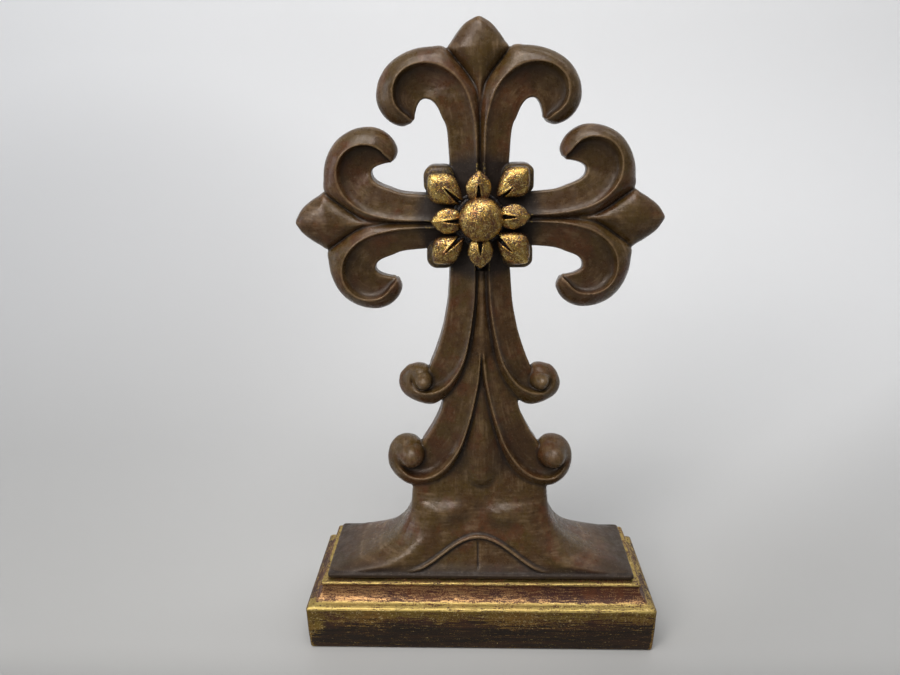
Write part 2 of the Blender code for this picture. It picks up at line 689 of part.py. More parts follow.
def make_rosette():
    corner_hub = (CORNER_HUB_RADIUS, PETAL_BACK, CORNER_HUB_FRONT)
    side_hub = (SIDE_HUB_RADIUS, CORNER_HUB_FRONT + GAP, SIDE_HUB_FRONT)
    make_petal_ring("corner_petals", CORNER_PETAL, CORNER_PETAL_SLIT, True, corner_hub)
    make_petal_ring("side_petals", SIDE_PETAL, SIDE_PETAL_SLIT, False, side_hub)
    back = SIDE_HUB_FRONT + GAP
    rim = back + BOSS_RIM_HEIGHT
    profile = [(BOSS_RADIUS - BOSS_RIM_INSET, back), (BOSS_RADIUS, rim)]
    for step in range(1, 7):
        angle = math.radians(step * 13.5)
        profile.append((BOSS_RADIUS * math.cos(angle), rim + (BOSS_FRONT - rim) * math.sin(angle)))
    boss = object_from("rosette_boss", turned(profile, ROSETTE_Z), GOLD_LEAF)
    combine(boss, "DIFFERENCE", screw_hole_cutter("rosette_boss_hole", 0.0, SCREW_FRONT + 1.0))


def make_rosette_screw():
    seat = BLOCK_BACK + GAP
    washer_back = seat + BACK_WASHER_THICKNESS
    disc = turned([(BACK_WASHER_RADIUS, -seat), (BACK_WASHER_RADIUS, -washer_back)], ROSETTE_Z)
    washer = object_from("screw_washer", disc, STEEL)
    combine(washer, "DIFFERENCE", screw_hole_cutter("screw_washer_hole", -washer_back - CUT_PAST, 0.0))
    head = washer_back + GAP
    profile = [(SCREW_RADIUS, SCREW_FRONT), (SCREW_RADIUS, -head), (SCREW_HEAD_RADIUS, -head)]
    profile += [(SCREW_HEAD_RADIUS, -head - 0.6), (0.75 * SCREW_HEAD_RADIUS, -head - 0.85 * SCREW_HEAD_HEIGHT)]
    profile += [(0.35 * SCREW_HEAD_RADIUS, -head - SCREW_HEAD_HEIGHT)]
    object_from("rosette_screw", turned(profile, ROSETTE_Z, SMALL_ROUND_SEGMENTS), STEEL)


def make_tie_rod():
    rod = cylinder(ROD_RADIUS, (0, 0, ROD_BOTTOM), (0, 0, ROD_TOP), SMALL_ROUND_SEGMENTS)
    object_from("tie_rod", rod, STEEL)
    washer_top = COUNTERBORE_TOP - GAP
    washer_bottom = washer_top - WASHER_THICKNESS
    nut_top = washer_bottom - GAP
    washer = cylinder(WASHER_RADIUS, (0, 0, washer_bottom), (0, 0, washer_top))
    nut = cylinder(NUT_FLATS / math.sqrt(3), (0, 0, nut_top - NUT_HEIGHT), (0, 0, nut_top), 6)
    hole_ends = ((0, 0, 0), (0, 0, COUNTERBORE_TOP + CUT_PAST))
    hole = object_from("fastener_hole", cylinder(ROD_RADIUS + GAP, *hole_ends, SMALL_ROUND_SEGMENTS))
    combine(object_from("tie_washer", washer, STEEL), "DIFFERENCE", hole)
    combine(object_from("tie_nut", nut, STEEL), "DIFFERENCE", hole)


def main():
    clear_scene()
    make_felt()
    make_plinth()
    make_foot()
    make_stem()
    make_crossing_block()
    for direction in ("top", "left", "right"):
        make_arm(direction)
    make_dowels()
    make_rosette()
    make_rosette_screw()
    make_tie_rod()


main()
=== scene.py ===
"""Looks of the altar cross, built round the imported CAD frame.

Shapes are worked out in millimetres in the row frame (+X right, -Y to the viewer, +Z up) and
scaled to metres when a piece is made. Heights and centres come from the CAD nodes' boxes.
"""

from math import cos, exp, pi, radians, sin

import bmesh
import bpy
import numpy as np
from mathutils import Matrix, Vector, kdtree, noise


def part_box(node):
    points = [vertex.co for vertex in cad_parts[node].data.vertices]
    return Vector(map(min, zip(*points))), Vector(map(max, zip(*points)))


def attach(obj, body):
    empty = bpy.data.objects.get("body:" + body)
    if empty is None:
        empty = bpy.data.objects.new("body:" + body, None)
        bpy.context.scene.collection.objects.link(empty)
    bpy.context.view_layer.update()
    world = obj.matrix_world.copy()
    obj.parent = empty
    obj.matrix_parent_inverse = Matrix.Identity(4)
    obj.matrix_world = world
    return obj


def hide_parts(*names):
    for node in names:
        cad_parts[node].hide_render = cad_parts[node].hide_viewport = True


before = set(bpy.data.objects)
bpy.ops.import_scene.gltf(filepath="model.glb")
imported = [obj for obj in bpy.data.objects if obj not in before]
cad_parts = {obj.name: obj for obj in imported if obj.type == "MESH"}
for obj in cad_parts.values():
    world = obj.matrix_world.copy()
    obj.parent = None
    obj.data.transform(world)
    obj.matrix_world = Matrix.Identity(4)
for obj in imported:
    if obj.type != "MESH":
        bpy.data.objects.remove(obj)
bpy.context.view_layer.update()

MM = 0.001


def node_box(node):
    """A CAD node's lowest and highest corners in millimetres."""
    low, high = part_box(node)
    return np.array(low) / MM, np.array(high) / MM


BLOCK_LOW, BLOCK_HIGH = node_box("crossing_block")
FOOT_LOW, FOOT_HIGH = node_box("foot")
PLINTH_LOW, PLINTH_HIGH = node_box("plinth")
ARM_LOW, ARM_HIGH = node_box("right_arm")

ROSETTE_Z = (BLOCK_LOW[2] + BLOCK_HIGH[2]) / 2
ARM_AXIS_Z = (ARM_LOW[2] + ARM_HIGH[2]) / 2
BLOCK_HALF = (BLOCK_HIGH[0] - BLOCK_LOW[0]) / 2
BLOCK_BACK = BLOCK_HIGH[1]

# ---------------------------------------------------------------- leaf and bud outlines

# One scrolled leaf of a side arm: (along the arm, across it) for the outer edge, the ridge and
# the inner edge, then the ridge's height in front of the middle plane
LEAF_ROWS = [
    ((25.8, -0.4), (25.8, 1.6), (25.8, 12.6), 8.6), ((36.0, -0.4), (35.0, 2.0), (35.2, 13.6), 8.8),
    ((46.0, -0.4), (43.5, 3.2), (41.5, 15.7), 9.0), ((53.0, -0.2), (51.0, 5.2), (46.3, 17.6), 9.0),
    ((59.0, 3.6), (56.5, 8.0), (49.0, 19.8), 9.0), ((66.0, 8.8), (61.0, 11.9), (49.8, 22.0), 9.0),
    ((72.6, 13.9), (64.0, 16.5), (49.7, 23.3), 9.0), ((72.9, 19.5), (65.3, 21.5), (49.2, 24.2), 9.0),
    ((72.0, 26.0), (64.8, 27.0), (48.5, 24.8), 9.0), ((69.3, 32.5), (62.3, 31.7), (47.5, 25.4), 9.0),
    ((64.5, 38.2), (58.0, 35.0), (46.3, 25.9), 9.0), ((57.5, 42.0), (52.8, 36.2), (45.0, 26.3), 8.8),
    ((50.0, 43.0), (48.0, 35.5), (43.7, 26.6), 8.5), ((44.0, 41.3), (44.6, 33.3), (42.6, 26.8), 8.0),
    ((39.5, 37.5), (42.5, 30.8), (41.9, 26.9), 7.4), ((37.3, 32.5), (41.0, 29.4), (41.4, 26.9), 6.6),
    ((38.4, 28.8), (39.8, 28.0), (40.6, 27.0), 5.6),
]
# The bud at an arm's end: (along the arm, half width, height of its ridge)
BUD_ROWS = [
    (30.0, 0.3, 3.0), (42.0, 1.0, 5.2), (50.0, 1.7, 6.4), (56.0, 3.1, 7.0),
    (61.5, 6.2, 7.4), (66.0, 9.4, 8.0), (69.5, 12.0, 8.2), (72.6, 13.8, 8.2),
    (75.7, 12.0, 7.8), (80.0, 9.3, 7.0), (84.3, 5.7, 5.6), (87.0, 1.4, 3.6),
]
ARM_CORE = (8.0, 0.8, 3.6)  # half width at the root and at the bud's tail, half depth
ARM_SCOOP = (2.5, 7.0)  # the rows between which the cove deepens
TOP_LEAF_STRETCH, TOP_LEAF_SLIDE, TOP_LEAF_SPREAD = 0.96, 7.0, 1.08
TOP_BUD_STRETCH, TOP_BUD_SLIDE = 0.87, 13.0
# How far the fronts sway sideways for each millimetre towards the viewer
ARM_SWAY = {"top": 0.13, "left": -0.12, "right": 0.17}
STEM_SWAY = 0.19
FRONT_SWAY = STEM_SWAY * 7.0  # at the stem's front

# Upper pair of stem leaves, as (across, height) points like LEAF_ROWS
UPPER_STEM_ROWS = [
    ((2.2, 194.3), (3.3, 194.3), (14.3, 194.3), 9.0), ((2.5, 181.0), (3.8, 181.0), (15.3, 181.0), 9.2),
    ((3.9, 168.0), (5.4, 168.0), (17.4, 168.6), 9.6), ((5.3, 158.0), (7.4, 158.0), (19.8, 159.5), 10.0),
    ((7.2, 149.0), (9.8, 149.5), (22.5, 151.8), 10.3), ((9.9, 140.5), (13.4, 142.8), (24.5, 147.0), 10.5),
    ((13.6, 133.4), (18.0, 137.2), (25.4, 143.8), 10.5), ((18.4, 127.6), (22.8, 134.2), (26.3, 141.0), 10.4),
    ((24.0, 124.2), (27.6, 133.0), (27.8, 138.6), 9.8), ((31.0, 125.2), (32.0, 133.4), (29.8, 137.6), 8.8),
    ((37.8, 129.0), (35.6, 136.2), (31.4, 138.6), 7.4), ((40.7, 134.5), (35.8, 139.6), (32.2, 140.4), 6.2),
    ((39.8, 141.0), (34.4, 142.0), (31.8, 141.8), 5.2), ((35.6, 146.2), (32.0, 143.6), (31.0, 142.8), 4.6),
]
# Lower pair, which parts out of the strip between the upper two
LOWER_STEM_ROWS = [
    ((-1.6, 160.0), (0.6, 160.0), (5.6, 160.0), 7.0), ((-1.0, 152.5), (0.9, 152.5), (8.6, 152.5), 7.9),
    ((-0.4, 146.0), (1.4, 145.5), (11.0, 147.0), 8.4), ((0.4, 138.0), (2.3, 137.6), (14.0, 138.0), 8.8),
    ((2.0, 129.5), (3.9, 129.5), (18.0, 129.5), 9.2), ((3.8, 121.0), (5.9, 121.0), (20.3, 121.3), 9.7),
    ((5.9, 112.6), (8.4, 112.8), (23.2, 114.8), 10.1), ((8.4, 103.6), (11.4, 104.4), (26.4, 109.0), 10.4),
    ((11.7, 94.6), (15.8, 96.9), (29.3, 104.5), 10.5), ((16.0, 86.6), (20.8, 91.0), (30.5, 101.0), 10.5),
    ((22.4, 80.6), (26.3, 87.2), (31.5, 97.5), 10.4), ((29.5, 78.4), (31.9, 85.8), (33.5, 95.2), 10.2),
    ((37.5, 78.6), (37.3, 86.4), (36.2, 94.3), 9.4), ((43.4, 82.3), (41.8, 89.6), (38.8, 94.8), 8.2),
    ((47.3, 88.2), (44.0, 93.6), (40.6, 96.8), 6.8), ((48.5, 94.8), (44.0, 98.0), (40.8, 99.0), 5.6),
    ((46.8, 101.8), (42.0, 101.8), (39.5, 100.8), 4.8), ((42.4, 106.6), (39.0, 103.4), (38.2, 102.2), 4.4),
]
UPPER_SCOOP, LOWER_SCOOP = (2.0, 7.0), (3.0, 9.0)  # like ARM_SCOOP
# The scrolls' eyes: (across, height, radius, front reach)
UPPER_EYE = (29.5, 138.6, 5.3, 12.4)
LOWER_EYE = (36.8, 97.4, 7.8, 13.6)
SOCKETS = ((30.4, 140.8, 5.9, 7.0), (37.8, 98.9, 8.2, 8.6))
# Stem core behind the leaves, down to the foot's neck: (height, half width, half depth)
STEM_CORE = [
    (195.8, 9.0, 5.0), (150.0, 9.0, 5.0), (122.0, 14.0, 5.0), (104.0, 18.0, 5.4),
    (94.0, 21.5, 6.2), (88.0, 25.5, 6.8), (83.5, 31.5, 7.9), (81.0, 35.0, 8.5),
    (78.0, 35.3, 9.2), (75.5, 35.6, 10.1), (72.0, 35.9, 11.4),
]
NECK_SQUARENESS = 4.5
# Swell down the middle of the core, a strip between the upper leaves and then a tongue between the
# lower ones: (height, half width, lift)
SWELL = [
    (198.0, 3.6, 2.4), (182.0, 3.9, 2.6), (170.0, 5.2, 2.9), (161.0, 7.0, 3.0),
    (155.0, 8.6, 2.5), (149.0, 8.0, 1.0), (144.0, 5.0, 0.1), (138.0, 4.6, 0.6),
    (127.0, 6.4, 2.0), (117.0, 8.8, 3.4), (108.0, 10.8, 4.5), (101.0, 12.2, 5.0),
    (95.0, 12.6, 4.9), (89.5, 12.2, 4.6), (86.0, 11.6, 3.9), (83.4, 10.6, 2.4),
    (81.2, 9.4, 0.6), (79.6, 8.4, 0.1), (77.0, 8.0, 0.0), (72.0, 8.0, 0.0),
]
TONGUE_GROOVE = 0.5
STEM_VOXEL = 0.42
EYE_BLEND_ROUNDS = 90

# Foot: (height, half width, half depth, corner squareness) up its bell
BELL_LEVELS = [
    (36.0, 78.6, 24.2, 14.0), (38.4, 78.2, 24.0, 14.0), (39.8, 74.5, 23.6, 9.0), (41.6, 69.0, 23.0, 6.5),
    (44.0, 60.8, 22.0, 5.2), (47.0, 53.0, 20.7, 4.6), (51.0, 46.6, 19.0, 4.2), (56.5, 41.4, 16.8, 4.0),
    (62.5, 38.1, 14.8, 4.0), (68.0, 36.4, 12.9, 4.2), (72.0, 35.9, 11.4, 4.5), (75.5, 35.6, 10.1, 4.5),
    (78.0, 35.3, 9.2, 4.5), (81.0, 35.0, 8.5, 4.5),
]
PAD_TOP, PAD_CORNER = 38.5, 1.8
RING_POINTS = 360
ARCH_CENTRE, ARCH_HALF_SPAN, ARCH_FOOT_Z, ARCH_RISE = -0.6, 38.0, 39.3, 16.7
RIB_RADIUS = 0.9
PANEL_DEPTH = 1.7
GROOVE_X = -0.9
# Swells and dips on the bell's front: (across, height, half width, half height, lift)
KNEES = [
    (-16.5, 69.0, 9.0, 4.6, 2.5), (13.0, 67.6, 8.5, 4.8, 2.6), (24.5, 70.0, 4.5, 3.2, 0.7),
    (-7.0, 65.0, 4.2, 3.0, -0.7), (-1.5, 69.0, 6.5, 5.5, -1.2),
]
# Folds that run from the knees down to the front corners: (height, across, half width, lift)
LEG = [
    (38.5, 70.0, 9.0, 0.0), (40.0, 62.0, 8.0, 0.8), (42.5, 49.0, 8.5, 1.4), (48.0, 37.0, 8.5, 1.9),
    (54.0, 30.0, 8.0, 1.8), (61.0, 26.5, 7.5, 1.3), (68.0, 24.5, 7.0, 0.6), (73.0, 24.0, 6.0, 0.0),
]
FOOT_VOXEL = 0.5

# Plinth: (inset from the widest outline, height) up the moulding
PLINTH_PROFILE = [
    (1.3, 0.5), (0.8, 1.3), (0.45, 7.0), (0.15, 15.0), (0.0, 23.0), (0.15, 24.0),
    (0.75, 24.7), (1.9, 25.2), (3.8, 25.9), (5.6, 27.3), (6.9, 29.6), (7.5, 32.2),
    (7.5, 33.2), (7.0, 33.8), (6.9, 34.5), (7.3, 35.2), (8.2, 35.6),
]
PLINTH_CORNER = 1.3
PLINTH_SIDES = (150, 60)  # steps along its long and its short sides
FELT_ROOM = 0.3

# Crossing block's corner lobes: signs across and up, then their outer reach both ways
LOBES = ((1, 1, 25.8, 24.7), (-1, 1, 25.3, 24.3), (-1, -1, 24.6, 23.6), (1, -1, 25.6, 23.6))
LOBE_INNER, LOBE_FRONT = 11.0, 10.0
LOBE_CORNER, LOBE_EDGE = 5.0, 3.4
# A corner petal's outline as shares of its box, from the end by the boss round by its upright side
CORNER_PETAL = [
    (0.02, 0.04), (0.02, 0.26), (0.10, 0.58), (0.24, 0.86), (0.44, 0.985), (0.72, 1.0),
    (0.93, 0.955), (0.995, 0.78), (1.0, 0.46), (0.93, 0.16), (0.76, 0.03), (0.46, 0.0),
    (0.18, 0.0),
]
# Their signs across and up, then their boxes: nearest and furthest across, nearest and furthest up
CORNER_BOXES = (
    (1, 1, 8.0, 23.3, 9.8, 23.8),
    (-1, 1, 7.0, 23.4, 6.9, 21.3),
    (-1, -1, 6.8, 21.8, 7.5, 20.9),
    (1, -1, 8.0, 23.8, 6.0, 21.1),
)
CORNER_SLIT = (11.0, 22.0, 1.3, 3.4)
SIDE_PETAL = [(-3.6, 9.0), (-5.7, 12.4), (-5.9, 15.8), (-4.2, 19.2), (-1.5, 21.6), (0.0, 22.5)]
SIDE_PETAL += [(-x, z) for x, z in SIDE_PETAL[-2::-1]]
SIDE_SLIT = (10.0, 17.0, 1.1, 2.8)
SIDE_SHIFTS = ((0.1, -0.1), (-0.4, -0.3), (-0.8, 0.3), (-1.4, 1.4))
BOSS_SHIFT = (1.0, 0.3)
OUTLINE_STEPS = 24
EDGE_SHARE = 0.35  # how far up its thickness a petal's edge is

BACK_SHARE = 0.85  # the back's relief against the front's
STEPS = 8  # stations for each row of a leaf
SEAM = 0.015  # half the gap left between two castings
SPARE = 1.5  # how far a loft runs past the plane where it is cut off
# Painted shade round the rosette: full within the first distance from its middle, gone beyond the second
SHADE_NEAR, SHADE_FAR = 24.0, 34.0
VOXEL, BLOCK_VOXEL, GILT_VOXEL = 0.4, 0.36, 0.24
CREASE_ROUNDS = 26
ON_PLANE, SLIVER = 0.01, 0.002  # how near a cut a point counts as on it, and what is too thin to keep

# Back screw: its shank's radius, then half the slot's width, its depth and its tilt
SHANK, SLOT_HALF, SLOT_DEPTH, SLOT_TILT = 2.0, 0.55, 1.5, radians(28)
SHARP_TURN = radians(35)  # edges of turned parts that bend more than this stay sharp

# Stage: half width, front, back, height and bend radius, in metres
STAGE = (3.0, -2.6, 0.55, 1.8, 0.35)
CAMERA_PLACE = (-1.4865, -348.5667, 268.0507)
CAMERA_PITCH, CAMERA_YAW, CAMERA_ROLL = 0.302, -0.0371, -0.0153
CAMERA_LENS = 29.2

# ---------------------------------------------------------------- mesh helpers


def smooth_rows(rows, steps, closed=False):
    """Catmull-Rom points through rows of numbers, the rows themselves among them."""
    points = np.array(rows, float)
    before, after = (points[-1:], points[:2]) if closed else (points[:1], points[-1:])
    padded = np.vstack([before, points, after])
    result = []
    for a, b, c, d in zip(padded, padded[1:], padded[2:], padded[3:]):
        square, cube = 2 * a - 5 * b + 4 * c - d, 3 * b - a - 3 * c + d
        for t in np.arange(steps) / steps:
            result.append(0.5 * (2 * b + (c - a) * t + square * t**2 + cube * t**3))
    result.append(padded[-2])
    return np.array(result)


def ease(low, high, value):
    """0 on low's side, 1 on high's side and a smooth step between them."""
    t = np.clip((np.asarray(value, float) - low) / (high - low), 0, 1)
    return t * t * (3 - 2 * t)


class Body:
    """Closed lofts gathered into one mesh. Every point knows its flow: how far it is along a leaf and
    across it, how close to a ridge line and how deep in a cove, the last two from 0 to 1."""

    def __init__(self):
        self.points, self.faces, self.flow = [], [], []
        self.count = 0

    def loft(self, rings, flow=None, hoop=False):
        """Adds a body through rings (stations, points, 3), with flow (stations, points, 4). It is closed
        with caps, or as a hoop whose last ring meets its first."""
        rings = np.asarray(rings, float)
        stations, size, _ = rings.shape
        if flow is None:
            flow = np.concatenate([rings[:, :, [2, 0]], np.zeros((stations, size, 2))], axis=2)
        grid = self.count + np.arange(stations * size).reshape(stations, size)
        after = np.roll(grid, -1, axis=1)
        quads = np.stack([grid, after, np.roll(after, -1, axis=0), np.roll(grid, -1, axis=0)], axis=-1)
        self.faces += quads[: stations if hoop else -1].reshape(-1, 4).tolist()
        ends = () if hoop else (0, -1)
        for i, end in enumerate(ends):
            hub = self.count + stations * size + i
            self.faces += [[int(a), int(b), hub] for a, b in zip(grid[end], after[end])]
        for store, values in ((self.points, rings), (self.flow, np.asarray(flow, float))):
            store += [values.reshape(-1, values.shape[2])] + [values[end].mean(0)[None] for end in ends]
        self.count += stations * size + len(ends)
        return self

    def mesh(self, name):
        data = bpy.data.meshes.new(name)
        data.from_pydata(np.vstack(self.points).tolist(), [], self.faces)
        data.update()
        body = bmesh.new()
        body.from_mesh(data)
        bmesh.ops.recalc_face_normals(body, faces=body.faces)
        body.to_mesh(data)
        body.free()
        return data


def read(collection, name, width, kind=np.float32):
    values = np.empty(len(collection) * width, kind)
    collection.foreach_get(name, values)
    return values.reshape(-1, width)


def points_of(data):
    return read(data.vertices, "co", 3).astype(float)


def normals_of(data):
    return read(data.vertices, "normal", 3).astype(float)


def edge_ends(data):
    return read(data.edges, "vertices", 2, np.int32)


def move_points(data, points):
    data.vertices.foreach_set("co", np.asarray(points, np.float32).ravel())
    data.update()


def set_attribute(data, name, values):
    attribute = data.attributes.get(name) or data.attributes.new(name, "FLOAT", "POINT")
    attribute.data.foreach_set("value", np.asarray(values, np.float32))


def neighbour_mean(values, ends):
    """The mean of each point's neighbours, for values (points, n)."""
    (a, b), count = ends.T, len(values)
    degree = np.bincount(a, minlength=count) + np.bincount(b, minlength=count)
    total = np.empty_like(values)
    for i in range(values.shape[1]):
        total[:, i] = np.bincount(a, values[b, i], count) + np.bincount(b, values[a, i], count)
    return total / np.maximum(degree, 1)[:, None]


def relax(values, ends, rounds, share=0.5):
    for _ in range(rounds):
        values = values + share * (neighbour_mean(values, ends) - values)
    return values


def to_scene(name, data):
    item = bpy.data.objects.new(name, data)
    bpy.context.scene.collection.objects.link(item)
    return item


def applied(item):
    """An object's mesh with its modifiers applied. The object itself goes."""
    graph = bpy.context.evaluated_depsgraph_get()
    data = bpy.data.meshes.new_from_object(item.evaluated_get(graph))
    bpy.data.objects.remove(item)
    return data


def remeshed(body, name, voxel):
    """Joins a body's closed lofts into one skin by voxels, in millimetres."""
    item = to_scene(name, body.mesh(name))
    modifier = item.modifiers.new("join", "REMESH")
    modifier.mode = "VOXEL"
    modifier.voxel_size = voxel
    modifier.adaptivity = 0.0
    return applied(item)


def fractal(points, scale, octaves, seed):
    """Noise from about -1 to 1 at points in millimetres. scale is the size of its largest waves."""
    shift = Vector((seed, seed * 1.7, -seed))
    return np.array([noise.fractal(Vector(p) / scale + shift, 1.0, 2.0, octaves) for p in points])


def fill_creases(data, rounds, detail):
    """Smooths a mesh where it is creased and leaves its edges sharp."""
    ends = edge_ends(data)
    points = points_of(data)
    inward = ((relax(points, ends, 10) - points) * normals_of(data)).sum(1) / detail
    share = 0.5 * np.clip(relax(np.clip(inward, 0, 1)[:, None], ends, 4) * 1.4, 0, 1)
    move_points(data, relax(points, ends, rounds, share))


def weather(data, wave=0.12, rounds=2, seed=3.1, detail=0.16, breadth=0.9, fill=0):
    """Softens a remeshed casting, gives it a hand-finished wave and notes its edges and hollows."""
    ends = edge_ends(data)
    if fill:
        fill_creases(data, fill, detail)
    points = relax(points_of(data), ends, rounds)
    move_points(data, points)
    points = points + normals_of(data) * (wave * fractal(points, 14.0, 2, seed))[:, None]
    move_points(data, points)
    normals = normals_of(data)
    fine = relax(points, ends, 14)
    broad = relax(fine, ends, 70)
    small = ((points - fine) * normals).sum(1) / detail
    large = ((points - broad) * normals).sum(1) / breadth
    for name, values in (("edge", small), ("crease", -small), ("hollow", -large)):
        set_attribute(data, name, np.clip(values, 0, 1))


def carry_flow(data, body):
    """Gives every point the flow of the loft point nearest to it."""
    points, flow = np.vstack(body.points), np.vstack(body.flow)
    tree = kdtree.KDTree(len(points))
    for i, point in enumerate(points):
        tree.insert(point, i)
    tree.balance()
    nearest = [tree.find(point)[1] for point in points_of(data)]
    picked = relax(flow[nearest], edge_ends(data), 2)
    for name, values in zip(("along", "across", "ridge", "cove"), picked.T):
        set_attribute(data, name, values)


def cut_flat(data, place, outward):
    """Cuts a mesh off flat at a plane and closes it."""
    body = bmesh.new()
    body.from_mesh(data)
    geometry = body.verts[:] + body.edges[:] + body.faces[:]
    bmesh.ops.bisect_plane(
        body, geom=geometry, dist=ON_PLANE, plane_co=place, plane_no=outward, clear_outer=True
    )
    bmesh.ops.dissolve_degenerate(body, dist=SLIVER, edges=body.edges)
    rim = [edge for edge in body.edges if edge.is_boundary]
    for face in bmesh.ops.holes_fill(body, edges=rim, sides=0)["faces"]:
        for edge in face.edges:
            edge.smooth = False
    body.to_mesh(data)
    body.free()


def piece_from(data, name, node, slot):
    """A visual piece in metres that stands for a CAD node and rides on the root body."""
    data.transform(Matrix.Scale(MM, 4))
    data.polygons.foreach_set("use_smooth", [True] * len(data.polygons))
    item = to_scene(name, data)
    data.materials.clear()
    data.materials.append(MATERIALS[slot])
    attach(item, "root")
    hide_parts(node)


# ---------------------------------------------------------------- node helpers


class Value:
    """A node's output. Values add up and multiply, so that a material reads like a formula."""

    def __init__(self, nodes, socket):
        self.nodes, self.socket = nodes, socket

    def __add__(self, other):
        return self.nodes.math("ADD", self, other)

    def __sub__(self, other):
        return self.nodes.math("SUBTRACT", self, other)

    def __mul__(self, other):
        return self.nodes.math("MULTIPLY", self, other)


class Nodes:
    """Short calls for building the nodes of a material or a world."""

    def __init__(self, name, library=bpy.data.materials, coordinates="Object"):
        self.owner = library.new(name)
        self.owner.use_nodes = True
        self.tree = self.owner.node_tree
        self.position = self.node("TexCoord", coordinates)

    def feed(self, socket, value):
        if isinstance(value, Value):
            self.tree.links.new(value.socket, socket)
        else:
            socket.default_value = (*value, 1.0) if socket.type == "RGBA" else value

    def node(self, kind, output=0, inputs=(), **settings):
        """Adds a node with its settings and its inputs, by name or number, and gives one output."""
        node = self.tree.nodes.new("ShaderNode" + kind)
        for name, value in settings.items():
            setattr(node, name, value)
        for key, value in dict(inputs).items():
            self.feed(node.inputs[key], value)
        return Value(self, node.outputs[output])

    def attribute(self, name):
        return self.node("Attribute", "Fac", attribute_name=name)

    def math(self, operation, a, b=0.0):
        return self.node("Math", 0, {0: a, 1: b}, operation=operation)

    def most(self, first, *others):
        for other in others:
            first = self.math("MAXIMUM", first, other)
        return first

    def mix(self, share, a, b):
        return self.node("Mix", 2, {0: share, 6: a, 7: b}, data_type="RGBA")

    def coats(self, colour, *layers):
        """Lays (share, colour) layers over a colour, one after another."""
        for share, layer in layers:
            colour = self.mix(share, colour, layer)
        return colour

    def span(self, value, low, high, to_low=0.0, to_high=1.0):
        """Maps low..high to to_low..to_high smoothly, held at both ends."""
        inputs = dict(enumerate((value, low, high, to_low, to_high)))
        return self.node("MapRange", 0, inputs, interpolation_type="SMOOTHSTEP")

    def scaled(self, factors=(1.0, 1.0, 1.0), shift=0.0, source=None):
        """The place on the object in millimetres, or another source, times factors."""
        if source is None:
            source, factors = self.position, [f / MM for f in factors]
        place = (shift, shift * 0.7, -shift)
        return self.node("Mapping", 0, {"Vector": source, "Location": place, "Scale": factors})

    def split(self):
        """The place on the object in millimetres as three numbers."""
        place = self.scaled()
        return [self.node("SeparateXYZ", axis, {0: place}) for axis in range(3)]

    def noise(self, size, detail, rough, stretch=(1.0, 1.0, 1.0), shift=0.0, source=None, distort=0.0):
        """Noise whose largest waves are about size millimetres across."""
        place = self.scaled([s / size for s in stretch], shift, source)
        inputs = {"Vector": place, "Scale": 1.0, "Detail": detail, "Roughness": rough, "Distortion": distort}
        return self.node("TexNoise", 0, inputs)

    def bump(self, height, distance, strength, under=None):
        """distance is in millimetres for a height of 1."""
        inputs = {"Strength": strength, "Distance": distance * MM, "Height": height}
        if under is not None:
            inputs["Normal"] = under
        return self.node("Bump", 0, inputs)

    def finish(self, shader="Principled BSDF", **sockets):
        for name, value in sockets.items():
            self.feed(self.tree.nodes[shader].inputs[name.replace("_", " ")], value)
        return self.owner


